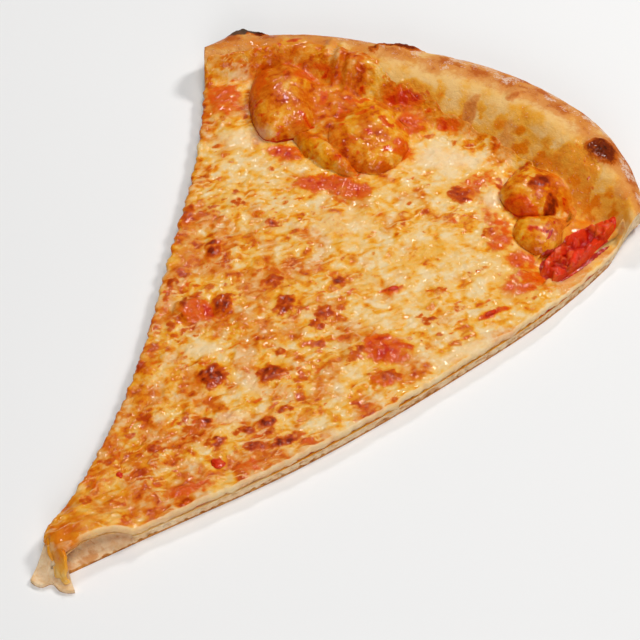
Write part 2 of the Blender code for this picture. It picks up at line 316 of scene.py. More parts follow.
def rim_profile(u, v):
    """Height of the rim over the base."""
    inward = (1 - np.clip(v, 0, 1)) * SLICE_DEPTH
    breadth = along_rim(u, RIM_WIDTHS)
    to_crest = RIM_CREST_SHARE * breadth
    crest = along_rim(u, RIM_HEIGHTS) + RIM_UNEVENNESS * np.sin(9 * u + 1)
    slope = smooth_step((breadth - inward) / (breadth - to_crest))
    shoulder = np.sqrt(np.clip(1 - (1 - inward / to_crest) ** 2, 0, 1))
    inner = (crest - BASE_THICKNESS) * slope
    outer = (RIM_WAIST - BASE_THICKNESS) + (crest - RIM_WAIST) * shoulder
    return np.where(inward > to_crest, inner, outer)


def drawn_back(u, v):
    """u moved in from the right cut where the skin over the pocket has drawn back."""
    return u * (1 - POCKET_RECESS * pocket(v) / width(v))


# Small blisters of the rim: x, y, half length, half width, turn, rise
RIM_BLISTERS = [
    (60.0, 213.0, 7.0, 6.0, 0.0, 2.2),
    (-20.0, 219.5, 9.0, 4.5, 25.0, 1.6),
    (24.0, 219.0, 4.5, 2.6, 70.0, 0.8),
    (-69.0, 199.5, 8.5, 4.5, 47.0, 2.2),
    (-34.0, 203.5, 9.0, 1.8, 108.0, 1.5),
    (-28.5, 200.0, 8.0, 1.5, 112.0, 1.3),
    (-39.5, 207.0, 7.0, 1.6, 100.0, 1.1),
    (38.0, 214.0, 9.0, 6.0, 150.0, 0.9),
]


def ground(u, v, with_domes=True):
    """The dough's upper surface at u, v."""
    inner_u = drawn_back(u, v)
    points = plan(inner_u, v)
    rim = rim_profile(inner_u, v)
    shift, lift = domes(points)
    if not with_domes:
        shift, lift = shift * 0, lift * 0
    small = sum(b[5] * np.clip(1 - oval(points, *b[:5]) ** 2, 0, 1) for b in RIM_BLISTERS)
    puff = PUFF[5] * np.clip(1 - oval(points, *PUFF[:5]) ** 2, 0, 1)
    swell = (np.maximum(rim, lift) ** 3 + (0.6 * np.minimum(rim, lift)) ** 3) ** (1 / 3)
    body = BASE_THICKNESS + swell + small + puff
    height = body + (FLAP_THICKNESS - body) * smooth_step(-v * 1.25)
    return np.concatenate([points + shift, across(height)], axis=-1)


# ------------------------------------------------------------------------------
# Closed meshes made of a dense upper grid, dense walls and a coarse hidden underside
# ------------------------------------------------------------------------------


def border(grid):
    """The grid's border values, counter-clockwise from above, starting at row 0, column 0."""
    return np.concatenate([grid[0, :-1], grid[:-1, -1], grid[-1, :0:-1], grid[:0:-1, 0]])


def grid_faces(index):
    a, b, c, d = index[:-1, :-1], index[:-1, 1:], index[1:, 1:], index[1:, :-1]
    return np.stack([a, b, c, d], axis=-1).reshape(-1, 4).tolist()


def coarse_faces(index, row_step, column_step):
    """Large cells over a fine grid. Those at its border keep every fine vertex of it, so that nothing gapes."""
    rows = sorted({*range(0, index.shape[0] - 1, row_step), index.shape[0] - 1})
    columns = sorted({*range(0, index.shape[1] - 1, column_step), index.shape[1] - 1})
    faces = []
    for r0, r1 in zip(rows, rows[1:]):
        for c0, c1 in zip(columns, columns[1:]):
            low = index[r0, c0 : c1 + 1] if r0 == rows[0] else index[r0, [c0, c1]]
            right = index[r0 : r1 + 1, c1] if c1 == columns[-1] else index[[r0, r1], c1]
            high = index[r1, c0 : c1 + 1] if r1 == rows[-1] else index[r1, [c0, c1]]
            left = index[r0 : r1 + 1, c0] if c0 == columns[0] else index[[r0, r1], c0]
            faces.append([*low[:-1], *right[:-1], *high[:0:-1], *left[:0:-1]])
    return faces


def wall_faces(upper, lower):
    return np.stack([upper, lower, np.roll(lower, -1), np.roll(upper, -1)], axis=-1).tolist()


def closed_mesh(name, top, loops, floor, hidden_rows=None):
    """top and floor are grids of points, and loops the rings from the top's border down to the floor's."""
    rows, columns = top.shape[:2]
    index = np.arange(rows * columns).reshape(rows, columns)
    points = [top.reshape(-1, 3)]
    count = rows * columns
    faces = []
    if hidden_rows:
        first, last = hidden_rows
        faces += grid_faces(index[: first + 1])
        faces += coarse_faces(index[first : last + 1], 8, 8)
        faces += grid_faces(index[last:])
    else:
        faces += grid_faces(index)
    ring = border(index)
    for loop in loops:
        lower = np.arange(count, count + len(loop))
        points.append(loop)
        count += len(loop)
        faces += wall_faces(ring, lower)
        ring = lower
    under = np.arange(count, count + rows * columns).reshape(rows, columns)
    points.append(floor.reshape(-1, 3))
    places = border(np.arange(rows * columns).reshape(rows, columns))
    under.reshape(-1)[places] = ring
    faces += [face[::-1] for face in coarse_faces(under, 8, 8)]
    points = np.concatenate(points)
    used = np.unique(np.concatenate([np.array(face) for face in faces]))
    renumber = np.full(len(points), -1)
    renumber[used] = np.arange(len(used))
    mesh = bpy.data.meshes.new(name)
    mesh.from_pydata(((points[used] + OFFSET) * MM).tolist(), [], [renumber[face].tolist() for face in faces])
    mesh.shade_smooth()
    made = bpy.data.objects.new(name, mesh)
    bpy.context.scene.collection.objects.link(made)
    return made, points[used], used


def set_masks(made, name, values):
    """Stores up to three masks of each vertex as one colour attribute."""
    rgba = np.ones((len(values), 4), np.float32)
    rgba[:, : values.shape[1]] = values
    layer = made.data.attributes.new(name, "FLOAT_COLOR", "POINT")
    layer.data.foreach_set("color", rgba.ravel())


def outward(ring):
    """Unit normals of a closed ring in plan, pointing out."""
    step = np.roll(ring[:, :2], -2, axis=0) - np.roll(ring[:, :2], 2, axis=0)
    normal = np.stack([step[:, 1], -step[:, 0]], axis=-1)
    return normal / (np.linalg.norm(normal, axis=-1, keepdims=True) + 1e-9)


# ------------------------------------------------------------------------------
# Cheese
# ------------------------------------------------------------------------------

# Browned and coloured places of the cheese: x, y, half length, half width, turn, strength, rise
BROWN_SPOTS = [
    (-12, 102, 5.0, 3.6, 105, 1.0, 1.5),
    (-22.5, 95, 1.6, 4.0, 30, 0.7, 0.2),
    (-27, 119, 4.2, 2.6, 110, 0.95, 0.9),
    (-17, 138, 3.0, 2.8, 0, 0.7, 0.6),
    (-31, 139, 2.8, 2.6, 0, 0.55, 0.4),
    (-37, 132, 3.2, 2.6, 30, 0.4, 0.3),
    (-42, 126, 4.8, 2.2, 112, 0.75, 0.7),
    (-34, 142, 1.8, 1.6, 0, 0.5, 0.3),
    (-4, 118, 4.6, 2.6, 42, 0.7, 0.6),
    (4, 112, 4.8, 3.4, 100, 0.9, 1.4),
    (9, 113, 3.6, 3.0, 30, 0.4, 1.2),
    (16, 116, 3.8, 3.4, 60, 0.75, 1.0),
    (17, 111, 3.0, 2.4, 20, 0.7, 0.7),
    (13, 129, 3.0, 2.2, 100, 0.85, 0.7),
    (1, 77, 5.6, 4.8, 60, 1.0, 1.4),
    (15, 88, 5.2, 3.8, 50, 1.0, 1.3),
    (13, 96, 2.6, 1.8, 110, 0.7, 0.6),
    (21, 105, 3.8, 2.0, 35, 0.55, 0.5),
    (25, 99, 2.0, 1.4, 35, 0.4, 0.2),
    (-21, 86, 2.8, 2.2, 90, 0.5, 0.6),
    (-28, 95, 2.6, 2.0, 90, 0.6, 0.5),
    (-30, 101, 2.8, 1.8, 100, 0.6, 0.5),
    (45, 131, 3.2, 1.8, 35, 0.6, 0.4),
    (46, 106, 5.0, 2.4, 45, 0.75, 0.8),
    (33, 109, 4.0, 2.4, 20, 0.55, 0.6),
    (50, 140, 2.6, 1.6, 60, 0.4, 0.2),
    (47, 155, 4.4, 1.6, 60, 0.35, 0.2),
    (27, 180, 4.6, 4.0, 20, 0.8, 0.9),
    (43, 171, 3.2, 2.6, 60, 0.55, 0.6),
    (8, 62, 3.0, 1.8, 48, 0.85, 0.6),
    (2, 59, 2.6, 2.0, 30, 0.5, 0.4),
    (24, 72, 3.4, 2.3, 70, 0.95, 0.9),
    (20, 66, 4.0, 1.7, 40, 0.85, 0.7),
    (26, 79, 3.0, 1.8, 48, 0.7, 0.5),
    (15, 58, 3.8, 2.0, 42, 0.9, 0.7),
    (26, 63, 4.2, 2.1, 45, 0.95, 0.8),
    (32, 69, 4.8, 2.2, 52, 0.9, 0.8),
    (1, 46, 2.9, 1.8, 30, 0.8, 0.5),
    (-8, 46, 2.6, 1.8, 40, 0.55, 0.4),
    (-5, 20, 2.7, 2.2, 90, 0.9, 0.7),
    (3, 24, 3.0, 1.3, 30, 0.7, 0.4),
    (9, 21, 3.2, 2.0, 45, 0.65, 0.5),
    (-8, 35, 3.0, 1.6, 40, 0.6, 0.5),
    (48.5, 194.0, 4.8, 3.4, 70, 1.05, 0.7),
    (54.5, 190.0, 4.8, 2.2, 105, 0.95, 0.5),
    (40.0, 198.0, 3.4, 2.4, 120, 0.8, 0.4),
    (36.5, 190.0, 2.0, 4.0, 60, 0.7, 0.2),
    (-9.5, 180.5, 2.4, 1.8, 30, 0.5, 0.2),
    (-50.0, 172.0, 2.4, 1.0, 120, 0.6, 0.1),
]
RED_SPOTS = [
    (-14, 97, 3.0, 2.2, 100, 1.0, -0.5),
    (29, 135, 4.4, 1.1, 42, 0.9, 0.3),
    (60, 144, 6.2, 1.2, 58, 0.95, 0.4),
    (39, 114, 8.5, 6.0, 20, 0.85, 1.5),
    (45, 105, 6.0, 3.6, 40, 0.7, 0.9),
    (44, 118, 3.2, 2.4, 40, 0.85, 0.6),
    (-60, 174, 8.0, 7.0, 120, 0.62, 0.6),
    (-52, 184, 3.0, 9.0, 20, 0.75, 0.0),
    (-17, 96, 6.0, 5.0, 60, 0.7, 0.6),
    (28, 186, 9.0, 4.0, 70, 0.6, 0.2),
    (46, 172, 5.0, 9.0, 20, 0.6, 0.2),
    (62, 160, 9.0, 6.0, 60, 0.62, 0.4),
    (-30, 165, 7.0, 3.4, 20, 0.85, 0.2),
    (-12, 161, 13.0, 4.2, 35, 0.8, 0.3),
    (-2, 164, 6.0, 4.0, 30, 0.75, 0.4),
    (-22, 186, 5.0, 2.0, 120, 0.8, -0.2),
    (57, 167, 6.0, 4.0, 35, 0.75, 0.3),
    (64, 164, 5.0, 3.2, 60, 0.8, 0.2),
    (30, 188, 8.0, 3.2, 60, 0.5, 0.0),
    (-70, 168, 3.0, 5.0, 60, 0.8, 0.2),
    (28, 56, 6.0, 2.4, 50, 0.6, 0.3),
    (18, 40, 9.5, 2.2, 50, 0.65, 0.5),
    (-4, 28, 5.0, 2.6, 60, 0.45, 0.3),
    (40, 177, 3.0, 6.0, 60, 0.5, 0.1),
    (-51, 203, 3.4, 1.4, 40, 0.8, 0.2),
    (-37, 199, 4.2, 1.2, 0, 0.8, 0.2),
    (-41, 193, 4.0, 3.4, 60, 0.75, 0.2),
    (-31, 190, 3.0, 1.6, 100, 0.9, 0.1),
    (-20, 196, 4.0, 1.2, 30, 0.7, 0.2),
    (-16, 190, 3.4, 1.6, 60, 0.8, 0.1),
    (-8, 203, 8.0, 3.2, 20, 0.95, 0.3),
    (-2, 196, 5.0, 4.4, 60, 0.75, 0.2),
    (2, 186, 4.0, 5.0, 60, 0.7, 0.2),
    (-8, 190, 4.0, 1.6, 100, 0.8, 0.1),
    (45, 184, 5.0, 2.2, 20, 0.85, 0.2),
    (50, 183, 4.0, 3.0, 30, 0.95, 0.4),
    (9, 202, 5.0, 2.4, 20, 0.8, 0.0),
]
GOLD_SPOTS = [
    (-20, 95, 5.4, 4.8, 30, 0.85, 2.4),
    (-66, 191, 10.0, 5.0, 40, 0.9, 0.2),
    (39, 113, 11.0, 8.0, 20, 0.8, 0.4),
    (-57, 192, 5.0, 4.0, 40, 0.95, 0.2),
    (-4, 97, 9.0, 2.0, 35, 0.8, 0.7),
    (-18, 69, 5.0, 4.6, 60, 0.95, 1.3),
    (-10, 73, 5.0, 2.4, 30, 0.7, 0.6),
    (-12, 122, 4.0, 3.4, 30, 0.7, 0.4),
    (30, 152, 13.0, 5.0, 60, 0.55, 0.0),
    (53, 111, 4.6, 2.4, 62, 0.85, 0.5),
    (-2, 53, 3.0, 2.2, 30, 0.7, 0.3),
    (1, 40, 6.5, 4.0, 50, 0.85, 0.8),
    (1, 12, 6.0, 3.0, 60, 0.9, 0.2),
    (30, 91, 5.0, 3.0, 50, 0.5, 0.3),
    (-33, 110, 7.0, 5.0, 90, 0.75, 0.3),
    (-20, 112, 5.0, 4.0, 30, 0.6, 0.3),
    (-14, 60, 5.0, 7.0, 70, 0.8, 0.3),
    (40, 140, 9.0, 3.0, 60, 0.5, 0.0),
    (20, 130, 6.0, 3.0, 60, 0.5, 0.2),
    (-25, 75, 4.0, 6.0, 60, 0.7, 0.4),
]
PALE_SPOTS = [
    (14, 190, 16.0, 6.0, 30, 0.75),
    (38, 180, 4.0, 10.0, 30, 0.8),
    (54, 158, 9.0, 4.0, 60, 0.5),
    (-62, 184, 8.0, 1.6, 30, 0.6),
    (-44, 163, 12.0, 5.0, 30, 0.6),
    (2, 150, 14.0, 7.0, 40, 0.45),
    (34, 124, 12.0, 5.0, 50, 0.35),
    (12, 82, 3.5, 6.0, 40, 0.6),
    (14, 68, 8.0, 3.0, 45, 0.6),
    (-8, 84, 9.0, 4.0, 35, 0.6),
    (60, 126, 14.0, 3.0, 64, 0.7),
    (-3, 31, 8.0, 2.0, 50, 0.4),
]
STREAK_ANGLE = 56.0  # strands and flecks of the cheese lie at this angle from +X


def spot_fields(points, spots, spread=1.0):
    """The strongest of these spots at each point, and their joint rise. Noise makes their outlines uneven."""
    warp = np.stack([fbm(flat(points), 3.2, 2, 41), fbm(flat(points), 3.2, 2, 43)], axis=-1) * 1.1
    bent = points[..., :2] + warp
    mask = np.zeros(points.shape[:-1])
    rise = np.zeros(points.shape[:-1])
    for x, y, half_length, half_width, turn, strength, lift in spots:
        far = oval(bent, x, y, half_length * spread, half_width * spread, turn)
        mask = np.maximum(mask, strength * (1 - smooth_step(far, 0.45, 1.25)))
        rise += lift * np.clip(1 - far**2, 0, 1) ** 0.8
    return mask, rise


def scattered_spots():
    """Small browned flecks, more of them where the cheese is hotter."""
    draw = np.random.default_rng(8)
    spots = []
    while len(spots) < 300:
        u, v = draw.uniform(0.03, 0.97), math.sqrt(draw.uniform(0.005, 0.85))
        x, y = plan(np.array(u), np.array(v))
        if draw.uniform() > 0.15 + 0.85 * float(heat(np.array([[x, y]]))[0]):
            continue
        size = 0.55 + 1.3 * draw.uniform() ** 2.5
        turn = STREAK_ANGLE + draw.normal(0, 22)
        spots.append((x, y, size * draw.uniform(1.1, 2.2), size, turn, draw.uniform(0.2, 0.6), 0.25 * size))
    return spots


def heat(points):
    """How far the cheese is browned at large: most at the left and the tip, least right of the middle."""
    x, y = points[..., 0], points[..., 1]
    cool = 0.32 * np.exp(-(((x - 42) / 34) ** 2) - ((y - 146) / 46) ** 2)
    cool += 0.32 * np.exp(-(((x - 16) / 24) ** 2) - ((y - 188) / 14) ** 2)
    cool += 0.3 * np.exp(-(((x + 30) / 26) ** 2) - ((y - 152) / 18) ** 2)
    cool += 0.25 * np.exp(-(((x - 5) / 22) ** 2) - ((y - 84) / 10) ** 2)
    return np.clip(0.74 - cool, 0.08, 1)


def dome_cover(points, swellings=0.86):
    """1 on the dough's blisters, and on this share of the swellings that join them."""
    outlines = [(d[0], d[1], d[2] * 1.02, d[3] * 1.02, d[4]) for d in DOMES]
    outlines += [(p[0], p[1], p[2] * swellings, p[3] * swellings, p[4]) for p in PADS]
    near = np.min([oval(points, *o) for o in outlines], axis=0)
    return 1 - smooth_step(near + 0.1 * fbm(flat(points), 5, 2, 77), 0.8, 1.1)


def cheese_looks(points, source):
    """Masks of the cheese (browning, gold, sauce; pale, oil, blisters), its rise, and ruddiness and strands."""
    spread = flat(points)
    bent = spread + 1.6 * np.stack([fbm(spread, 6, 2, 11), fbm(spread, 6, 2, 12), spread[:, 2]], axis=-1)
    streaks = fbm(turned(bent, STREAK_ANGLE, 2.6), 2.0, 3, 5)
    mottle = fbm(bent, 2.6, 3, 9)
    dots = cells(bent, 4.6, 19)[0]
    broad = fbm(spread, 15, 3, 3)
    middling = fbm(spread, 5.5, 3, 23)
    warm = heat(points)
    brown, brown_rise = spot_fields(points, BROWN_SPOTS)
    halo, _ = spot_fields(points, BROWN_SPOTS, 1.55)
    flecks, fleck_rise = spot_fields(points, SCATTERED)
    red, red_rise = spot_fields(points, RED_SPOTS)
    gold, gold_rise = spot_fields(points, GOLD_SPOTS)
    pale = np.zeros(len(points))
    for x, y, half_length, half_width, turn, strength in PALE_SPOTS:
        far = oval(points + 1.5 * across(middling), x, y, half_length, half_width, turn)
        pale = np.maximum(pale, strength * (1 - smooth_step(far, 0.4, 1.2)))
    over = dome_cover(source)

    wisps = np.abs(fbm(turned(bent, STREAK_ANGLE - 12, 2.8), 4.2, 3, 29))
    strands = (1 - smooth_step(wisps, 0.0, 0.14)) * smooth_step(broad + 0.5 * middling, -0.4, 0.4)
    patchy = warm + 0.32 * streaks + 0.34 * mottle + 0.56 * middling + 0.3 * broad
    golden = 0.95 * smooth_step(patchy, 0.02, 1.22)
    golden = golden * (1 - 0.6 * strands)
    ringed = (1 - smooth_step(dots, 0.12, 0.42)) * smooth_step(warm + 0.6 * middling, 0.3, 0.8)
    golden = np.maximum(golden, 0.66 * ringed + 0.12 * streaks)
    golden = np.maximum(golden, np.maximum(gold, 0.8 * halo) * (0.85 + 0.4 * middling))
    golden = np.maximum(golden, 0.9 * flecks)
    red_halo, _ = spot_fields(points, RED_SPOTS, 1.35)
    pale = pale * (1 - red_halo)
    golden = np.maximum(golden, over * (0.7 + 0.3 * middling + 0.22 * mottle))
    golden = golden * (1 - 0.5 * pale * (1 - 0.7 * over))
    golden = np.maximum(golden, 0.85 * red_halo)

    browned = brown * (0.9 + 0.9 * fbm(spread, 2.0, 2, 27))
    browned = np.maximum(browned, 0.85 * flecks * (1 - 0.6 * pale))
    sauced = red * (0.85 + 0.4 * fbm(spread, 2.4, 2, 51))
    sauced = np.maximum(sauced, over * smooth_step(fbm(spread, 4.0, 3, 57), 0.25, 0.75) * 0.9)
    sauced = np.maximum(sauced, 0.5 * smooth_step(streaks + 0.4 * warm + 0.4 * broad, 0.6, 1.1) * (1 - pale))

    oil = np.clip(0.3 + 0.5 * golden + 0.4 * sauced + 0.3 * over, 0, 1)
    lumps = 0.6 * fbm(spread, 9, 3, 61) + 0.38 * fbm(turned(bent, STREAK_ANGLE, 1.7), 2.8, 3, 67)
    lumps += 0.2 * strands
    skin = over * (0.5 * fbm(spread, 4.2, 3, 71) + 0.22 * fbm(spread, 1.6, 2, 73))
    rise = lumps * (1 - 0.5 * over) + skin + 0.65 * brown_rise + 0.7 * fleck_rise
    rise = rise + 0.6 * red_rise + 0.6 * gold_rise
    rise += 0.12 * pale
    ruddy = smooth_step(warm + 0.5 * fbm(spread, 11, 2, 33) + 0.1 * over, 0.36, 1.05)
    blend = np.stack([ruddy, strands * (1 - over), np.zeros_like(ruddy)], axis=-1)
    tone = np.stack([browned, golden, sauced], axis=-1)
    film = np.stack([pale, oil, over], axis=-1)
    return np.clip(tone, 0, 1.2), np.clip(film, 0, 1), rise, blend


SCATTERED = scattered_spots()
CHEESE_LIFT = 3.2  # its top over the dough
FLAP_LENGTH = 7.0
TIP_TURN = 1.5  # the cheese turns down over the tip from here
TIP_ROWS = 41  # rows of points in the part that is turned down
COMMON_ROWS_TO = 0.785  # rows of points lie straight across up to this v
LAST_ROWS = 76  # rows that fan out from there to the line where the cheese stops
SAUCE_LIFT = 0.7  # top of the sauce over the dough


def source(u, v):
    """The plan point that u, v would have without the blisters' overhang."""
    return plan(drawn_back(u, v), v)


def from_line(u, v, stop_u, stop_v, near=0.7):
    """How far, in plan, the points at u, v are inside the line through the points at stop_u, stop_v."""
    inside = np.full(v.shape, 60.0)
    line = source(stop_u, stop_v)
    chosen = np.flatnonzero(v.ravel() > near)
    points = source(u.ravel()[chosen], v.ravel()[chosen])
    for part in np.array_split(np.arange(len(chosen)), 1 + len(chosen) // 4000):
        away = np.hypot(points[part, None, 0] - line[:, 0], points[part, None, 1] - line[:, 1]).min(axis=1)
        inside.ravel()[chosen[part]] = away
    return inside


def cheese_lift(u, v, from_stop):
    """Height of the cheese's top over the dough: full in the middle, thin over blisters and at its edges."""
    edge = np.where(u > 0.94, smooth_step(from_stop, -0.6, 3.4), smooth_step(from_stop, -1.0, 10.0))
    over = dome_cover(source(u, v))
    lift = 0.1 + (CHEESE_LIFT - 0.1) * edge * (1 - 0.5 * over)
    lift = lift * (1 - 0.55 * smooth_step(u, 0.94, 0.97) * smooth_step(v, 0.76, 0.84))
    return 0.6 + (lift - 0.6) * smooth_step(v, -0.42, 0.03)


def build_cheese():
    rows, columns = 420, 228
    u = np.linspace(0, 1, columns)
    ragged = 2.6 * fbm(np.stack([u * 14, u * 0, u * 0], axis=-1), 1.0, 2, 13)
    stop = cheese_stop(u, ragged)
    start = -1.2 - 2.6 * smooth_step(u, 0.15, 0.5) - 0.8 * smooth_step(u, 0.5, 0.6) + 0.4 * np.sin(19 * u)
    turned_over = start + (TIP_TURN - start) * np.linspace(0, 1, TIP_ROWS)[:-1, None]
    shared = COMMON_ROWS_TO * SLICE_DEPTH
    middle_rows = rows - TIP_ROWS - LAST_ROWS + 2
    lying = TIP_TURN + (shared - TIP_TURN) * np.linspace(0, 1, middle_rows)[:-1, None] + 0 * u
    last = shared + (stop * SLICE_DEPTH - shared) * np.linspace(0, 1, LAST_ROWS)[:, None]
    reach = np.concatenate([turned_over, lying, last])
    v = np.where(reach < 0, reach / FLAP_LENGTH, reach / SLICE_DEPTH)
    rounding = 1.0
    inset = rounding / np.maximum(width(v), 9.0)
    left_bite = inset * (1 + 0.9 * fbm(np.stack([reach * 0.26, v * 0, v * 0 + 7], axis=-1), 1.0, 3, 31))
    right_bite = inset * (1 + 0.5 * fbm(np.stack([reach * 0.26, v * 0, v * 0 + 11], axis=-1), 1.0, 3, 33))
    uu = left_bite + (1 - left_bite - right_bite) * u
    base = ground(uu, v)
    fine_u = np.linspace(0, 1, 900)
    from_stop = from_line(uu, v, fine_u, np.interp(fine_u, u, stop))
    lift = cheese_lift(uu, v, from_stop)
    _, _, rise, _ = cheese_looks(base.reshape(-1, 3), source(uu, v).reshape(-1, 2))
    fade = smooth_step(from_stop, 0.0, 4.0) * smooth_step(reach, -1.5, 3.0)
    top = base.copy()
    top[..., 2] += lift + rise.reshape(rows, columns) * fade
    top[..., 1] -= 0.8 * smooth_step(v, 0.02, -0.1) * smooth_step(reach - start, 0.0, 1.5)
    at_cut = 1 - smooth_step(np.minimum(uu, 1 - uu) * np.maximum(width(v), 9.0), 0.5, 3.0)
    drip = 0.6 * fbm(np.stack([reach * 0.22, u + 0 * v, v * 0], axis=-1), 1.0, 2, 35)
    thick = np.minimum(0.97 * lift, 2.0 + (1.0 + drip) * at_cut)
    for _ in range(30):  # evens out what the steep front does to the relief
        front = top[: TIP_ROWS + 8]
        front[1:-1, 1:-1] += 0.5 * (
            0.25 * (front[:-2, 1:-1] + front[2:, 1:-1] + front[1:-1, :-2] + front[1:-1, 2:]) - front[1:-1, 1:-1]
        )
    plain = ground(uu, v, with_domes=False)
    floor = top.copy()
    floor[..., 2] = np.minimum(plain[..., 2] + SAUCE_LIFT - 1.2 * (v < 0.06), top[..., 2] - thick - 0.8)

    ring = border(top)
    ring_thick = border(thick)
    normal = outward(ring)
    radius = np.minimum(rounding, 0.75 * ring_thick)
    bulge = 0.18 * fbm(flat(ring), 2.5, 2, 37) * (border(v) > 0.01)
    loops = []
    for angle in np.radians([22, 45, 68, 90]):
        loop = ring.copy()
        loop[:, :2] += normal * (radius * math.sin(angle) + bulge * math.sin(angle))[:, None]
        loop[:, 2] -= radius * (1 - math.cos(angle))
        loops.append(loop)
    for share_down in (0.5, 1.0):
        loop = loops[3].copy()
        loop[:, 2] -= (ring_thick - radius) * share_down
        loop[:, :2] -= normal * (0.3 * share_down * radius)[:, None]
        loops.append(loop)
    made, points, used = closed_mesh("melted_cheese", top, loops, floor)
    all_u = np.concatenate([uu.ravel()] + [border(uu)] * len(loops) + [uu.ravel()])[used]
    all_v = np.concatenate([v.ravel()] + [border(v)] * len(loops) + [v.ravel()])[used]
    tone, film, _, blend = cheese_looks(points, source(all_u, all_v))
    melting = 1 - smooth_step(from_line(all_u, all_v, fine_u, np.interp(fine_u, u, stop)), 0.0, 6.0)
    melting *= all_u < 0.93
    tone[:, 1] = np.maximum(tone[:, 1], melting * (0.4 + 0.25 * (all_u > 0.8)))
    film[:, 0] *= 1 - 0.8 * melting
    strip = smooth_step(all_u, 0.95, 0.972) * smooth_step(all_v, 0.74, 0.8)
    tone *= across(1 - 0.4 * strip)
    tone[:, 1] = np.maximum(tone[:, 1], 0.3 * strip)
    last_column = border(np.broadcast_to(np.arange(columns) == columns - 1, v.shape))
    inside = np.zeros(rows * columns)
    on_side = np.concatenate([inside] + [last_column] * len(loops) + [inside])
    on_side = on_side[used] * smooth_step(all_v, 0.0, 0.05)
    tone *= across(1 - 0.75 * on_side)
    film[:, 0] = np.maximum(film[:, 0], 0.7 * on_side)
    tone[:, 1] = np.maximum(tone[:, 1], on_side * (0.22 + 0.5 * fbm(points, 3.2, 3, 49)))
    front = smooth_step(-all_v * FLAP_LENGTH, -1.5, 0.6)
    run = 0.62 - 0.25 * smooth_step(-all_v * FLAP_LENGTH, 1.5, 4.0) + 0.16 * fbm(points, 2.2, 2, 47)
    tone[:, 0] *= 1 - front
    tone[:, 1] += (run - tone[:, 1]) * front
    tone[:, 2] *= 1 - 0.7 * front
    blend[:, 2] = front
    set_masks(made, "blend", blend)
    set_masks(made, "tone", tone)
    set_masks(made, "film", film)
    made.data.materials.append(cheese_material())
    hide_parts("cheese")
    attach(made, "root")
    return made


# ------------------------------------------------------------------------------
# Sauce and crushed tomato
# ------------------------------------------------------------------------------


def sauce_looks(points):
    """Masks of the sauce (bright, orange, cream), and its relief."""
    spread = flat(points)
    lumps = 0.5 * fbm(spread, 4.5, 3, 81) + 0.22 * fbm(spread, 1.6, 2, 83)
    bright = smooth_step(fbm(spread, 5, 3, 85), -0.3, 0.7)
    orange = smooth_step(fbm(spread, 3.2, 3, 87), 0.1, 0.8)
    cream = smooth_step(fbm(spread, 2.6, 3, 89), 0.55, 0.9)
    return np.stack([bright, orange, cream], axis=-1), lumps


def build_sauce():
    rows, columns = 250, 170
    u = np.linspace(0, 1, columns)
    ragged = 1.6 * fbm(np.stack([u * 34, u * 0, u * 0], axis=-1), 1.0, 3, 15)
    stop = sauce_stop(u, ragged)
    v = -0.02 + (stop + 0.02) * np.linspace(0, 1, rows)[:, None]
    inset = (0.35 + 0.5 * (1 - smooth_step(v, 0.7, 0.8))) / np.maximum(width(v), 9.0)
    uu = inset + (1 - 2 * inset) * u
    top = ground(uu, v)
    _, lumps = sauce_looks(top.reshape(-1, 3))
    bare = smooth_step(v - cheese_stop(uu), -0.02, 0.01)
    edge = smooth_step((stop[None, :] - v) * SLICE_DEPTH, 0.0, 2.5)
    top[..., 2] += 0.25 + (SAUCE_LIFT - 0.25 + bare * (0.6 + lumps.reshape(rows, columns))) * edge
    floor = ground(uu, v, with_domes=False)
    floor[..., 2] = np.minimum(floor[..., 2] - 0.2, top[..., 2] - 0.4)
    ring = border(top)
    normal = outward(ring)
    low = border(floor)
    loops = []
    for down in (0.3, 0.7, 1.0):
        loop = ring.copy()
        loop[:, 2] += (low[:, 2] - ring[:, 2]) * down
        loop[:, :2] += normal * 0.25 * math.sin(math.pi * down)
        loops.append(loop)
    made, points, _ = closed_mesh("tomato_sauce", top, loops, floor)
    tone, _ = sauce_looks(points)
    set_masks(made, "tone", tone)
    made.data.materials.append(sauce_material())
    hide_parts("sauce")
    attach(made, "root")
    return made


TOMATO_FROM = 0.887  # u where the crushed tomato starts and ends
TOMATO_TO = 0.966


def pulp(points):
    """Relief of crushed tomato, and how deep between its lumps a point is, which the tomato's colour also uses as
    painted shade in the hollows and painted light on the tops.
    """
    bent = points + 1.5 * np.stack([fbm(points, 4, 2, k) for k in (161, 162, 163)], axis=-1)
    large, number = cells(bent, 4.4, 165)
    small, _ = cells(bent, 2.2, 167)
    lumps = np.sqrt(np.clip(1 - (large / 0.85) ** 2, 0, 1))
    grains = np.sqrt(np.clip(1 - (small / 0.9) ** 2, 0, 1))
    return 2.8 * lumps * (0.3 + 1.0 * number) + 0.8 * grains + 0.5 * fbm(points, 3.0, 2, 169), lumps, number


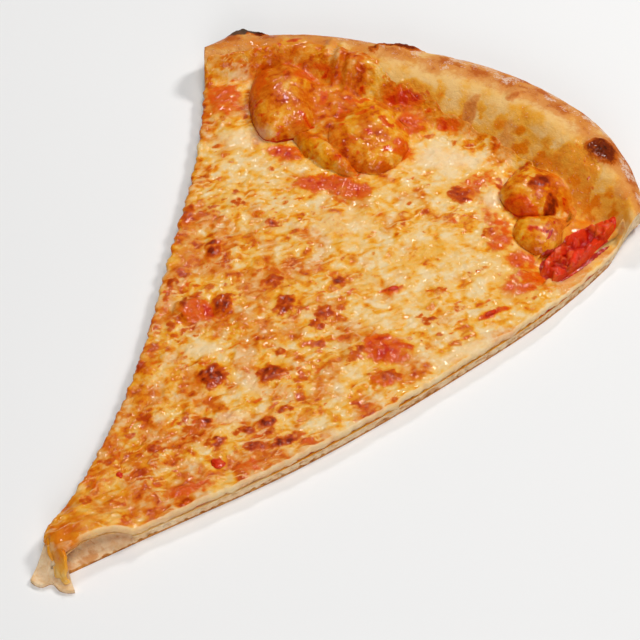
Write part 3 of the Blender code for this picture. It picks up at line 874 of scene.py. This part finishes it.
def build_tomato():
    rows, columns = 130, 70
    u = np.linspace(TOMATO_FROM, TOMATO_TO, columns)
    inner = np.minimum(cheese_stop(u, 1.0 * np.sin(140 * u) + 2.0), sauce_stop(u, 0.5))
    outer = sauce_stop(u, -0.8)
    v = inner + (outer - inner) * np.linspace(0, 1, rows)[:, None]
    uu = np.broadcast_to(u, v.shape)
    top = ground(uu, v)
    height, _, _ = pulp(flat(top.reshape(-1, 3)))
    height = height.reshape(rows, columns)
    span = np.minimum(np.linspace(0, 1, rows), np.linspace(1, 0, rows))[:, None] * (outer - inner) * SLICE_DEPTH
    aside = np.minimum(u - TOMATO_FROM, TOMATO_TO - u) * width(0.85)
    edge = smooth_step(span, 0.0, 2.2) * smooth_step(aside, 0.0, 1.4)
    top[..., 2] += 0.9 + (0.3 + height) * edge
    floor = ground(uu, v)
    floor[..., 2] += 0.2
    ring, low = border(top), border(floor)
    loops = [ring + (low - ring) * down for down in (0.5, 1.0)]
    made, points, _ = closed_mesh("crushed_tomatoes", top, loops, floor)
    _, lumps, number = pulp(flat(points))
    # The lump mask drives painted shade in the colour: darker red between the lumps and lighter on their tops.
    set_masks(made, "tone", np.stack([lumps, number], axis=-1))
    made.data.materials.append(tomato_material("crushed tomato"))
    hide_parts("crushed_tomato")
    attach(made, "root")


# Small pieces of tomato in the cheese: x, y, half length, half width, height, turn
TOMATO_BITS = [
    (20.0, 52.0, 2.2, 1.8, 1.3, 20.0),
    (-2.0, 33.0, 1.2, 0.9, 0.7, 0.0),
    (59.5, 143.5, 1.8, 0.8, 0.6, 58.0),
    (29.0, 135.5, 1.6, 0.8, 0.5, 42.0),
]


def surface_height(x, y):
    """Height of the finished topping at a plan point, read from the meshes above by a ray."""
    origin = ((x + OFFSET[0]) * MM, (y + OFFSET[1]) * MM, 0.1)
    depsgraph = bpy.context.evaluated_depsgraph_get()
    hit, place, *_ = bpy.context.scene.ray_cast(depsgraph, origin, (0, 0, -1))
    return place.z / MM if hit else BASE_THICKNESS


def lump_mesh(name, lumps, seed, relief):
    """Several uneven lumps as one mesh."""
    rings, sides = 20, 30
    points, faces = [], []
    for k, (x, y, half_length, half_width, height, turn) in enumerate(lumps):
        first = len(points)
        level = surface_height(x, y)
        polar = np.linspace(0, math.pi, rings + 1)[1:-1]
        theta, phi = np.meshgrid(polar, np.arange(sides) * 2 * math.pi / sides, indexing="ij")
        unit = np.stack([np.sin(theta) * np.cos(phi), np.sin(theta) * np.sin(phi), np.cos(theta)], axis=-1)
        unit = np.concatenate([[[0, 0, 1.0]], unit.reshape(-1, 3), [[0, 0, -1.0]]])
        size = np.array([half_length, half_width, height])
        uneven = 1 + relief * fbm(unit * 1.1 + 9 * k, 1.0, 3, seed)
        uneven = uneven + 0.4 * relief * fbm(unit * 3 + 5 * k, 1.0, 2, seed)
        body = unit * size * uneven[:, None]
        body[:, 2] = np.where(body[:, 2] < 0, body[:, 2] * 0.5, body[:, 2])
        c, s = math.cos(math.radians(turn)), math.sin(math.radians(turn))
        placed = np.stack([x + body[:, 0] * c - body[:, 1] * s, y + body[:, 0] * s + body[:, 1] * c], axis=-1)
        points += np.column_stack([placed, level + body[:, 2] - 0.15 * height]).tolist()
        ring_start = [first + 1 + r * sides for r in range(rings - 1)]
        for j in range(sides):
            n = (j + 1) % sides
            faces.append([first, ring_start[0] + j, ring_start[0] + n])
            for a, b in zip(ring_start, ring_start[1:]):
                faces.append([a + j, b + j, b + n, a + n])
            last = first + 1 + (rings - 1) * sides
            faces.append([last, ring_start[-1] + n, ring_start[-1] + j])
    mesh = bpy.data.meshes.new(name)
    mesh.from_pydata(((np.array(points) + OFFSET) * MM).tolist(), [], faces)
    mesh.shade_smooth()
    made = bpy.data.objects.new(name, mesh)
    bpy.context.scene.collection.objects.link(made)
    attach(made, "root")
    set_masks(made, "tone", np.full((len(points), 2), 0.7))
    made.data.materials.append(tomato_material(name.replace("_", " ")))
    return made


# ------------------------------------------------------------------------------
# Dough
# ------------------------------------------------------------------------------

# Coloured places of the rim: x, y, half length, half width, turn, strength
CHARS = [
    (60.0, 212.5, 6.6, 5.6, 0, 1.0),
    (-20.0, 219.5, 9.5, 2.4, 24, 0.9),
    (-26.0, 213.0, 3.0, 2.0, 90, 0.8),
    (49.5, 193.5, 4.6, 3.6, 70, 0.95),
    (55.0, 189.5, 4.6, 2.4, 100, 0.85),
    (41.5, 196.0, 3.4, 2.2, 120, 0.7),
    (-68.0, 202.0, 10.0, 5.5, 42, 1.3),
]
# The sooty end of the rim, in the same form
SOOT = (-70.0, 198.5, 9.0, 3.6, 47, 1.3)
# Golden, glossy places of the rim: x, y, half length, half width, turn, strength
GILDED = [
    (-71.0, 191.0, 8.0, 5.0, 40, 0.95),
    (-59.0, 197.0, 8.0, 5.5, 40, 1.0),
    (-45.0, 205.0, 9.0, 4.5, 30, 0.85),
    (-33.0, 210.0, 9.0, 4.0, 20, 0.8),
    (-24.0, 207.0, 5.0, 4.0, 60, 0.8),
    (2.0, 208.0, 7.0, 3.0, 100, 0.7),
    (13.0, 205.0, 5.0, 3.0, 100, 1.0),
    (24.0, 207.0, 7.0, 3.0, 60, 0.75),
    (33.0, 206.0, 6.0, 4.5, 110, 0.9),
    (42.0, 206.0, 5.0, 3.6, 60, 0.8),
    (56.0, 204.0, 8.0, 5.0, 60, 0.8),
    (66.0, 197.0, 11.0, 3.6, 65, 1.0),
    (73.0, 201.0, 5.0, 3.0, 60, 0.8),
]
TOASTS = [
    (25.0, 218.5, 4.6, 2.2, 70, 0.85),
    (14.0, 207.0, 7.5, 3.2, 100, 0.75),
    (29.0, 206.0, 6.0, 4.0, 120, 0.45),
    (-52.0, 207.0, 16.0, 5.0, 32, 0.65),
    (-70.0, 188.0, 7.0, 6.0, 40, 0.45),
    (-57.0, 198.0, 5.0, 3.0, 60, 0.7),
    (60.0, 212.5, 9.0, 8.0, 0, 0.6),
    (-20.0, 218.0, 13.0, 5.0, 24, 0.5),
    (45.0, 203.0, 6.0, 3.0, 40, 0.6),
    (39.0, 218.0, 11.0, 3.0, 155, 0.35),
    (72.0, 205.0, 7.0, 4.0, 130, 0.5),
    (-5.0, 214.0, 6.0, 2.4, 60, 0.4),
]


def spot_mask(points, spots, seed):
    """The strongest of these places at each point. Noise makes their outlines uneven."""
    warp = np.stack([fbm(points, 4.0, 3, seed), fbm(points, 4.0, 3, seed + 1)], axis=-1) * 1.4
    mask = np.zeros(len(points))
    for x, y, half_length, half_width, turn, strength in spots:
        far = oval(points[:, :2] + warp, x, y, half_length, half_width, turn)
        mask = np.maximum(mask, strength * (1 - smooth_step(far, 0.4, 1.2)))
    return mask


def dough_looks(points, u, v, cut):
    """Masks of the dough: toast, char, flour; gold, crumb, crust of the underside. cut is 1 on its cut faces."""
    inward = (1 - np.clip(v, 0, 1)) * SLICE_DEPTH
    breadth = along_rim(u, RIM_WIDTHS)
    place = inward / breadth
    height = points[:, 2]
    toast = spot_mask(points, TOASTS, 101)
    char = spot_mask(points, CHARS, 103)
    band = (1 - smooth_step(place, 0.2, 0.58)) * (0.74 + 0.45 * fbm(points, 8, 3, 105))
    left_end = (1 - smooth_step(u, 0.12, 0.42)) * smooth_step(v, 0.5, 0.6)
    toast = np.maximum(toast, np.clip(band, 0, 1))
    toast = np.maximum(toast, left_end * (0.35 + 0.35 * fbm(points, 6, 3, 107)))
    below = 1 - smooth_step(height, 0.6, 4.2)
    toast = np.maximum(toast, (v > 0) * (1 - cut) * below * (0.5 + 0.4 * fbm(points, 5, 3, 109)))
    flour = smooth_step(0.9 * fbm(points, 5.5, 4, 111) + 1.0 - 2.4 * place, 0.3, 1.2)
    flour = flour * (1 - 0.75 * left_end) * smooth_step(height, 0.0, 3.0)
    gold = smooth_step(place + 0.3 * fbm(points, 7, 3, 113), 0.45, 0.95) * 0.62
    gold = np.maximum(gold, 0.2 + 0.5 * fbm(points, 9, 3, 115)) * (v > 0.3)
    patches = smooth_step(fbm(points, 5.5, 3, 119), 0.15, 0.5) * smooth_step(place, 0.4, 0.7)
    gold = np.maximum(gold, 0.85 * patches * (v > 0.3))
    gold = np.maximum(gold, spot_mask(points, GILDED, 106) * (0.8 + 0.7 * fbm(points, 4.0, 3, 108)))
    over = dome_cover(source(u, v))
    gold = np.maximum(gold, 0.75 * over)
    skin_line = 1 - smooth_step(height + 0.25 * fbm(points, 3, 2, 117), 0.55, 1.15)
    under = np.where(cut > 0.5, skin_line, 1 - smooth_step(height, 0.0, 0.5))
    red, _ = spot_fields(points, RED_SPOTS)
    red = np.maximum(red, over * smooth_step(fbm(flat(points), 4.0, 3, 57), 0.4, 0.8) * 0.9) * (1 - cut)
    hollow = pocket(v) * smooth_step(u, 0.8, 0.9) * cut
    toast = np.maximum(toast * (1 - cut), hollow * smooth_step(fbm(points, 5.0, 3, 118), -0.1, 0.5) * 0.8)
    baked = smooth_step(fbm(points * np.array([1, 1, 2]), 5.5, 3, 143), 0.1, 0.45)
    baked = baked * (1 - smooth_step(height, 2.0, 4.5))
    toast = np.maximum(toast, 0.75 * cut * baked)
    tone = np.stack([toast * (1 - 0.7 * over), char, flour * (1 - over)], axis=-1)
    crumb = np.maximum(cut, 1 - smooth_step(v, -0.1, 0.0))
    film = np.stack([gold, crumb, under], axis=-1)
    soot = spot_mask(points, [SOOT], 141) * (0.75 + 0.8 * fbm(points, 3.0, 3, 145))
    stain = np.stack([red, over, soot], axis=-1)
    return np.clip(tone, 0, 1.3), np.clip(film, 0, 1), np.clip(stain, 0, 1)


def build_dough():
    columns = 290
    u = np.linspace(0, 1, columns)
    covered_to = cheese_stop(u, 11.0)
    crest = 1 - np.minimum(RIM_CREST_SHARE * along_rim(u, RIM_WIDTHS) / SLICE_DEPTH, 0.7 * (1 - covered_to))
    flap = np.linspace(-1, 0, 41)[:-1, None] + 0 * u
    hidden = covered_to * np.linspace(0, 1, 353)[:-1, None]
    slope = covered_to + (crest - covered_to) * np.linspace(0, 1, 60)[:-1, None]
    shoulder = crest + (1 - crest) * np.sin(np.linspace(0, math.pi / 2, 34))[:, None]
    v = np.concatenate([flap, hidden, slope, shoulder])
    uu = np.broadcast_to(u, v.shape)
    top = ground(uu, v)
    skin = top.reshape(-1, 3)
    visible = smooth_step(v, 0.5, 0.7) + (1 - smooth_step(v, -0.9, -0.6))
    relief = 0.34 * fbm(skin, 8, 3, 121) + 0.1 * fbm(skin, 2.2, 3, 123)
    char = spot_mask(skin, CHARS, 103)
    relief += char * (1.1 * fbm(skin, 3.0, 3, 125) + 0.5 * fbm(skin, 1.5, 2, 127) + 0.4)
    covered = dome_cover(source(uu, v).reshape(-1, 2))
    relief += covered * 0.3 * fbm(skin, 3.4, 3, 71)
    edge = np.minimum(uu, 1 - uu) * width(np.clip(v, 0, 1))
    top[..., 2] += relief.reshape(v.shape) * visible * smooth_step(edge, 0.0, 2.5) * (0.3 + 0.7 * (v > 0))
    burnt_lip = np.exp(-(((uu - 0.065) / 0.035) ** 2)) * smooth_step(v, 0.955, 1.0)
    top[..., :2] += across(burnt_lip) * np.array([-1.3, 1.6])
    top[..., 2] += 1.2 * burnt_lip
    under_cheese = (v > 0.02) & (v < cheese_stop(uu, 6.0))
    top[..., 2] -= 0.5 * under_cheese * smooth_step(edge, 0.5, 3.0)

    ring, ring_u, ring_v = border(top), border(uu), border(v)
    normal = outward(ring)
    on_left, on_right = (ring_u < 1e-6) & (ring_v > 0), (ring_u > 1 - 1e-6) & (ring_v > 0)
    on_cut = (on_left | on_right) & (ring_v < 1)
    inward = (1 - ring_v) * SLICE_DEPTH
    undercut = RIM_UNDERCUT * np.clip(1 - inward / RIM_UNDERCUT_FADE, 0, 1)
    opened = np.where(on_right, pocket(ring_v), 0.0)
    levels = 26
    middle = plan(0.5, 0.55)
    to_middle = middle - ring[:, :2]
    to_middle /= np.linalg.norm(to_middle, axis=-1, keepdims=True)
    original = plan(ring_u, ring_v)
    loops = []
    for level in range(1, levels + 1):
        share = level / levels
        turn = 0.5 * math.pi * share
        rolled = ring[:, 2] * (1 - math.sin(turn))
        straight = ring[:, 2] * (1 - share)
        height = np.where(ring_v >= 1 - 1e-9, rolled, straight)
        loop = ring.copy()
        loop[:, :2] += to_middle * (undercut * (1 - math.cos(turn)))[:, None]
        # The pocket's section: lip, roof, back wall, floor and the edge of the crust below
        lip, floor_share = 1 - POCKET_ROOF / ring[:, 2], POCKET_FLOOR / ring[:, 2]
        knots = [0.0, 0.16, 0.32, 0.52, 0.72, 0.86, 1.0]
        heights = np.stack([lip * 0 + 1, lip, 0.75 * lip + 0.25 * floor_share, 0.5 * (lip + floor_share),
                            1.25 * floor_share, floor_share, lip * 0])
        k = min(int(np.searchsorted(knots, share, side="left")) - 1, 5)
        part = (share - knots[k]) / (knots[k + 1] - knots[k])
        section = heights[k] + (heights[k + 1] - heights[k]) * part
        deep = np.interp(share, knots, [0, 0.15, 0.85, 1.0, 0.8, 0.0, 0.0])
        recess = np.interp(share, knots, [1, 1, 1, 0.6, 0.1, 0, 0])
        open_height = ring[:, 2] * section
        loop[:, 2] = np.where(opened > 0, open_height * opened + straight * (1 - opened), height)
        here = original - normal * ((POCKET_DEPTH * deep + POCKET_RECESS * recess) * opened)[:, None]
        blend = smooth_step(opened, 0.0, 0.25)[:, None]
        loop[:, :2] = loop[:, :2] * (1 - blend) + here * blend
        # Crumb: holes and roughness in the cut faces, fewer at the crust below
        fade = math.sin(math.pi * min(1.0, share * 1.02))
        size = 2.2 + 3.0 * smooth_step(ring[:, 2], 5.0, 14.0)
        hole, _ = cells(loop * np.array([1, 1, 1.6]) / size[:, None], 1.0, 131)
        pit = smooth_step(0.46 - hole, 0.0, 0.26) * size * 0.36
        rough = (0.16 + 0.5 * opened) * fbm(loop, 1.6 + 1.4 * opened[:, None], 3, 133)
        depth = (pit * (1 + opened) + rough) * fade * on_cut
        loop[:, :2] -= normal * depth[:, None]
        grain = 0.25 * fbm(loop, 4.0, 3, 135) * fade * (ring_v >= 1 - 1e-9)
        loop[:, :2] -= normal * grain[:, None]
        loops.append(loop)
    drawn_in = smooth_step(v, 0.88, 1.0)
    floor = np.zeros_like(top)
    shrunk = 0.5 + (uu - 0.5) * (1 - 0.1 * drawn_in)
    floor[..., :2] = plan(shrunk, v - 1.4 * RIM_UNDERCUT / SLICE_DEPTH * drawn_in)
    first, last = len(flap), len(flap) + len(hidden)
    made, points, used = closed_mesh("baked_dough", top, loops, floor, (first, last))
    count = top.shape[0] * top.shape[1]
    all_u = np.concatenate([uu.ravel()] + [ring_u] * levels + [uu.ravel()])[used]
    all_v = np.concatenate([v.ravel()] + [ring_v] * levels + [v.ravel()])[used]
    cut = np.concatenate([np.zeros(count)] + [on_cut.astype(float)] * levels + [np.zeros(count)])[used]
    tone, film, stain = dough_looks(points, all_u, all_v, cut)
    set_masks(made, "tone", tone)
    set_masks(made, "film", film)
    set_masks(made, "stain", stain)
    made.data.materials.append(dough_material())
    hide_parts("dough")
    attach(made, "root")
    return made


# ------------------------------------------------------------------------------
# Materials
# ------------------------------------------------------------------------------


def srgb(red, green, blue):
    """A display colour, 0 to 255, as the linear colour that shaders take."""
    values = np.array([red, green, blue]) / 255
    linear = np.where(values <= 0.04045, values / 12.92, ((values + 0.055) / 1.055) ** 2.4)
    return (*linear.tolist(), 1.0)


class Shader:
    """Short forms for building one material's nodes."""

    def __init__(self, name):
        self.material = bpy.data.materials.new(name)
        self.material.use_nodes = True
        self.tree = self.material.node_tree
        self.principled = self.tree.nodes["Principled BSDF"]
        self.coordinates = self.node("ShaderNodeTexCoord").outputs["Object"]

    def node(self, kind, settings=None, inputs=None):
        made = self.tree.nodes.new(kind)
        for key, value in (settings or {}).items():
            setattr(made, key, value)
        for key, value in (inputs or {}).items():
            self.put(made.inputs[key], value)
        return made

    def put(self, socket, value):
        if isinstance(value, bpy.types.NodeSocket):
            self.tree.links.new(value, socket)
        else:
            socket.default_value = value

    def masks(self, name):
        stored = self.node("ShaderNodeAttribute", {"attribute_name": name})
        split = self.node("ShaderNodeSeparateColor", None, {0: stored.outputs["Color"]})
        return split.outputs[0], split.outputs[1], split.outputs[2]

    def math(self, operation, a, b=0.0, c=0.0):
        made = self.node("ShaderNodeMath", {"operation": operation})
        for socket, value in zip(made.inputs, (a, b, c)):
            self.put(socket, value)
        return made.outputs[0]

    def add(self, a, b):
        return self.math("ADD", a, b)

    def times(self, a, b):
        return self.math("MULTIPLY", a, b)

    def step(self, value, low, high, to_low=0.0, to_high=1.0):
        """A smooth step between two limits."""
        made = self.node("ShaderNodeMapRange", {"interpolation_type": "SMOOTHSTEP"})
        names = ("Value", "From Min", "From Max", "To Min", "To Max")
        for name, one in zip(names, (value, low, high, to_low, to_high)):
            self.put(made.inputs[name], one)
        return made.outputs[0]

    def ramp(self, value, stops):
        """A colour for each value, smoothly between the stops (place, red, green, blue)."""
        made = self.node("ShaderNodeValToRGB", None, {"Fac": value})
        made.color_ramp.interpolation = "EASE"
        while len(made.color_ramp.elements) < len(stops):
            made.color_ramp.elements.new(1.0)
        for element, (place, *colour) in zip(made.color_ramp.elements, stops):
            element.position = place
            element.color = srgb(*colour)
        return made.outputs[0]

    def mix(self, share, a, b, blend="MIX"):
        made = self.node("ShaderNodeMix", {"data_type": "RGBA", "blend_type": blend})
        self.put(made.inputs[0], share)
        self.put(made.inputs[6], a)
        self.put(made.inputs[7], b)
        return made.outputs[2]

    def noise(self, size, detail=3.0, rough=0.55, stretch=None):
        """Noise of about -0.5 to 0.5 with features about size metres across. stretch is (degrees, factor)."""
        vector = self.coordinates
        if stretch:
            degrees, factor = stretch
            rotation = (0, 0, -math.radians(degrees))
            turn = self.node("ShaderNodeMapping", None, {"Vector": vector, "Rotation": rotation})
            squeezed = {"Vector": turn.outputs[0], "Scale": (1 / factor, 1, 1)}
            vector = self.node("ShaderNodeMapping", None, squeezed).outputs[0]
        inputs = {"Vector": vector, "Scale": 1 / size, "Detail": detail, "Roughness": rough}
        made = self.node("ShaderNodeTexNoise", None, inputs)
        return self.math("SUBTRACT", made.outputs[0], 0.5)

    def bump(self, height, distance, strength=1.0, normal=None):
        made = self.node("ShaderNodeBump", None, {"Height": height, "Distance": distance, "Strength": strength})
        if normal is not None:
            self.put(made.inputs["Normal"], normal)
        return made.outputs[0]

    def wet_bump(self, size, distance):
        """The bump of a film of oil: coarse enough for crisp glints."""
        wave = self.noise(size, 1.0)
        ripple = self.times(self.noise(0.45 * size, 0.0), 0.35)
        return self.bump(self.add(wave, ripple), distance, 1.0)

    def finish(
        self, colour, rough, normal, coat=0.0, coat_normal=None, flesh=0.0, flesh_size=0.002, tint=(1, 0.4, 0.2)
    ):
        shader = self.principled
        self.put(shader.inputs["Base Color"], colour)
        self.put(shader.inputs["Roughness"], rough)
        self.put(shader.inputs["Normal"], normal)
        self.put(shader.inputs["Coat Weight"], coat)
        if coat_normal is not None:
            self.put(shader.inputs["Coat Normal"], coat_normal)
        shader.inputs["Coat Roughness"].default_value = 0.07
        shader.inputs["Specular IOR Level"].default_value = 0.05
        shader.inputs["Subsurface Weight"].default_value = flesh
        shader.inputs["Subsurface Scale"].default_value = flesh_size
        shader.inputs["Subsurface Radius"].default_value = tint
        return self.material


# Cheese from cream to browned, where it is yellow and where it is ruddy
YELLOW_RAMP = [
    (0.0, 236, 205, 152),
    (0.2, 237, 192, 118),
    (0.4, 238, 178, 78),
    (0.6, 235, 158, 32),
    (0.8, 226, 128, 4),
    (1.0, 204, 84, 2),
]
RUDDY_RAMP = [
    (0.0, 233, 194, 144),
    (0.2, 229, 168, 100),
    (0.4, 225, 145, 58),
    (0.6, 220, 120, 20),
    (0.8, 208, 94, 4),
    (1.0, 176, 54, 2),
]
BURNT_RAMP = [(0.1, 226, 122, 6), (0.35, 206, 88, 3), (0.65, 176, 58, 3), (0.95, 126, 34, 3)]


def cheese_material():
    s = Shader("melted cheese")
    browned, golden, sauced = s.masks("tone")
    pale, oil, _ = s.masks("film")
    ruddy, strand, front = s.masks("blend")
    fine = s.noise(0.0016, 4)
    medium = s.noise(0.0045, 3)
    streak = s.noise(0.0011, 4, stretch=(STREAK_ANGLE, 3.2))
    speck = s.noise(0.0007, 2)

    jagged = s.add(s.times(fine, 0.6), s.add(s.times(streak, 0.45), s.times(medium, 0.5)))
    shade = s.add(golden, s.times(jagged, s.step(front, 0.0, 1.0, 1.0, 0.4)))
    ruddiness = s.step(s.add(ruddy, s.times(medium, 0.8)), 0.15, 0.85)
    colour = s.mix(ruddiness, s.ramp(shade, YELLOW_RAMP), s.ramp(shade, RUDDY_RAMP))
    colour = s.mix(s.step(s.add(pale, s.times(fine, 0.8)), 0.2, 0.9, 0.0, 0.7), colour, srgb(239, 210, 166))
    colour = s.mix(s.times(s.step(s.add(strand, s.times(fine, 0.5)), 0.2, 1.0), 0.4), colour, srgb(238, 200, 150))
    red = s.add(sauced, s.add(s.times(fine, 0.6), s.times(medium, 0.5)))
    colour = s.mix(s.step(red, 0.15, 0.6), colour, srgb(220, 88, 4))
    colour = s.mix(s.step(red, 0.6, 0.95), colour, srgb(198, 44, 1))
    burnt = s.add(browned, s.add(s.times(fine, 0.5), s.times(speck, 0.3)))
    charred = s.ramp(s.times(burnt, 0.8), BURNT_RAMP)
    colour = s.mix(s.step(burnt, 0.15, 0.5), colour, charred)
    rough = s.step(s.add(oil, s.times(fine, 0.6)), 0.1, 0.9, 0.5, 0.26)
    relief = s.add(s.times(streak, 0.5), s.add(fine, s.times(speck, 0.45)))
    normal = s.bump(s.times(relief, s.step(front, 0.0, 1.0, 1.0, 0.2)), 0.0005, 0.8)
    coat = s.step(oil, 0.1, 0.9, 0.2, 0.34)
    return s.finish(colour, rough, normal, coat, s.wet_bump(0.0026, 0.0005), 0.08, 0.0015, (1.0, 0.5, 0.2))


def sauce_material():
    s = Shader("tomato sauce")
    bright, orange, cream = s.masks("tone")
    fine = s.noise(0.0012, 4)
    colour = s.mix(s.step(s.add(bright, fine), 0.1, 0.9), srgb(178, 34, 12), srgb(222, 52, 18))
    colour = s.mix(s.step(s.add(orange, fine), 0.35, 0.95, 0.0, 0.8), colour, srgb(232, 112, 34))
    colour = s.mix(s.step(s.add(cream, s.times(fine, 0.6)), 0.4, 0.95, 0.0, 0.8), colour, srgb(240, 200, 150))
    normal = s.bump(s.add(fine, s.times(s.noise(0.0005, 2), 0.5)), 0.0006, 0.8)
    return s.finish(colour, 0.45, normal, 0.5, s.wet_bump(0.003, 0.0006), 0.25, 0.002, (1.0, 0.25, 0.1))


def tomato_material(name):
    s = Shader(name)
    lump_shading, number, _ = s.masks("tone")
    fine = s.noise(0.0014, 4)
    medium = s.noise(0.004, 3)
    fibre = s.noise(0.0006, 3, stretch=(40, 3.0))
    # Painted shade and light: the red is darker in the hollows between the lumps and lighter on their tops.
    bright = s.add(lump_shading, s.add(s.times(fine, 0.8), s.times(medium, 0.6)))
    colour = s.mix(s.step(bright, 0.1, 0.9), srgb(184, 18, 2), srgb(222, 52, 6))
    orange = s.add(s.times(number, 0.5), s.add(s.times(fibre, 0.6), s.times(medium, 0.9)))
    colour = s.mix(s.step(orange, 0.3, 0.75, 0.0, 0.85), colour, srgb(230, 108, 28))
    normal = s.bump(s.add(fine, s.times(fibre, 0.6)), 0.0005, 0.8)
    return s.finish(colour, 0.45, normal, 0.5, s.wet_bump(0.0024, 0.0005), 0.1, 0.0015, (1.0, 0.2, 0.08))


def dough_material():
    s = Shader("baked dough")
    toast, char, flour = s.masks("tone")
    gold, crumb, under = s.masks("film")
    red, over, soot = s.masks("stain")
    fine = s.noise(0.0015, 5, 0.6)
    medium = s.noise(0.006, 4)
    speck = s.noise(0.0006, 3)

    colour = s.mix(s.step(medium, -0.3, 0.35), srgb(236, 194, 128), srgb(232, 176, 92))
    gilded = s.add(gold, s.add(s.times(fine, 0.35), s.times(medium, 0.5)))
    colour = s.mix(s.step(gilded, 0.15, 0.6), colour, srgb(234, 164, 54))
    colour = s.mix(s.step(gilded, 0.5, 0.95), colour, srgb(222, 118, 4))
    stained = s.add(red, s.add(s.times(fine, 0.5), s.times(medium, 0.4)))
    colour = s.mix(s.step(stained, 0.3, 0.7, 0.0, 0.85), colour, srgb(214, 76, 20))
    colour = s.mix(s.step(stained, 0.7, 1.0, 0.0, 0.85), colour, srgb(180, 24, 8))
    toasted = s.add(toast, s.add(s.times(fine, 0.45), s.times(medium, 0.4)))
    colour = s.mix(s.step(toasted, 0.2, 0.6, 0.0, 0.85), colour, srgb(214, 134, 62))
    colour = s.mix(s.step(toasted, 0.58, 0.95, 0.0, 0.9), colour, srgb(184, 86, 22))
    dusty = s.add(s.times(flour, 0.85), s.add(s.times(fine, 1.8), s.times(speck, 2.4)))
    colour = s.mix(s.step(dusty, 0.3, 1.05, 0.0, 0.75), colour, srgb(232, 206, 184))
    inside = s.mix(s.step(s.add(fine, medium), -0.35, 0.35), srgb(246, 218, 180), srgb(230, 186, 134))
    scorched = s.step(s.add(toast, s.add(s.times(fine, 0.6), s.times(medium, 0.4))), 0.3, 0.8, 0.0, 0.75)
    inside = s.mix(scorched, inside, srgb(204, 136, 74))
    colour = s.mix(s.step(crumb, 0.3, 0.7), colour, inside)
    crusty = s.mix(s.step(s.add(medium, fine), -0.3, 0.4), srgb(214, 146, 72), srgb(160, 88, 34))
    colour = s.mix(s.step(s.add(under, s.times(fine, 0.4)), 0.3, 0.7), colour, crusty)
    burnt = s.add(char, s.add(s.times(fine, 0.5), s.times(speck, 0.3)))
    wrinkled = s.times(s.noise(0.0024, 2), 1.1)
    colour = s.mix(s.step(burnt, 0.2, 0.5), colour, srgb(196, 92, 14))
    colour = s.mix(s.step(s.add(burnt, wrinkled), 0.45, 0.9), colour, srgb(118, 40, 8))
    colour = s.mix(s.step(s.add(burnt, wrinkled), 0.9, 1.35), colour, srgb(58, 22, 6))
    sooty = s.step(s.add(soot, s.add(s.times(fine, 0.9), s.times(speck, 0.9))), 0.35, 0.75, 0.0, 0.92)
    colour = s.mix(sooty, colour, srgb(84, 68, 54))
    rough = s.step(s.add(gold, s.times(fine, 0.3)), 0.3, 1.0, 0.72, 0.42)
    relief = s.add(fine, s.times(speck, 0.5))
    normal = s.bump(relief, 0.0005, 0.7)
    wet = s.step(s.add(over, s.times(gold, 0.6)), 0.2, 1.0, 0.0, 0.5)
    return s.finish(colour, rough, normal, wet, s.wet_bump(0.0036, 0.0005), 0.15, 0.002, (1.0, 0.6, 0.35))


def floor_material():
    s = Shader("floor")
    colour = s.mix(s.step(s.noise(0.4, 2), -0.4, 0.4), (0.86, 0.86, 0.86, 1), (0.9, 0.9, 0.9, 1))
    return s.finish(colour, 0.85, s.bump(s.noise(0.01, 2), 0.0001, 0.2))


# ------------------------------------------------------------------------------
# Stage
# ------------------------------------------------------------------------------


def build_floor():
    size = 4.0
    mesh = bpy.data.meshes.new("floor")
    mesh.from_pydata([(-size, -size, 0), (size, -size, 0), (size, size, 0), (-size, size, 0)], [], [(0, 1, 2, 3)])
    made = bpy.data.objects.new("floor", mesh)
    bpy.context.scene.collection.objects.link(made)
    mesh.materials.append(floor_material())


def look_at(thing, place, target):
    thing.location = place
    direction = np.array(place) - np.array(target)
    thing.rotation_euler = Vector(direction.tolist()).to_track_quat("Z", "Y").to_euler()


def area_light(name, place, size, power, colour=(1, 1, 1)):
    data = bpy.data.lights.new(name, "AREA")
    data.shape = "DISK"
    data.size = size
    data.energy = power
    data.color = colour
    made = bpy.data.objects.new(name, data)
    bpy.context.scene.collection.objects.link(made)
    look_at(made, place, (0, 0, 0))


def build_lights():
    area_light("key", (0.3, 0.62, 0.85), 0.22, 4.8, (1.0, 0.985, 0.96))
    area_light("overhead", (0.25, -0.1, 1.3), 0.5, 5.4)
    area_light("fill", (0.6, -1.0, 0.62), 0.7, 5.4)
    area_light("sparkle", (-0.42, 0.66, 1.0), 0.18, 3.6)
    world = bpy.data.worlds.new("studio")
    bpy.context.scene.world = world
    world.use_nodes = True
    world.node_tree.nodes["Background"].inputs["Color"].default_value = (1, 1, 1, 1)
    world.node_tree.nodes["Background"].inputs["Strength"].default_value = 0.06
    bpy.context.scene.view_settings.view_transform = "Standard"


CAMERA_AZIMUTH = 32.5
CAMERA_ELEVATION = 52.0
CAMERA_DISTANCE = 750.0
CAMERA_TARGET = (13.6, 117.5)
CAMERA_LENS = 135.9


def build_camera():
    azimuth, elevation = math.radians(CAMERA_AZIMUTH), math.radians(CAMERA_ELEVATION)
    level = math.cos(elevation)
    back = np.array([math.sin(azimuth) * level, -math.cos(azimuth) * level, math.sin(elevation)])
    target = np.array([*CAMERA_TARGET, 0.0]) + OFFSET
    data = bpy.data.cameras.new("camera")
    data.lens = CAMERA_LENS
    data.sensor_width = 36
    data.clip_start = 0.01
    made = bpy.data.objects.new("camera", data)
    bpy.context.scene.collection.objects.link(made)
    look_at(made, ((target + back * CAMERA_DISTANCE) * MM).tolist(), (target * MM).tolist())
    bpy.context.scene.camera = made


def main():
    build_camera()
    build_floor()
    build_lights()
    build_dough()
    build_sauce()
    build_cheese()
    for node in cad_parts.values():
        node.hide_set(True)  # surface_height's ray is to meet the meshes made here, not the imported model's
    build_tomato()
    lump_mesh("tomato_bits", TOMATO_BITS, 153, 0.3)


main()
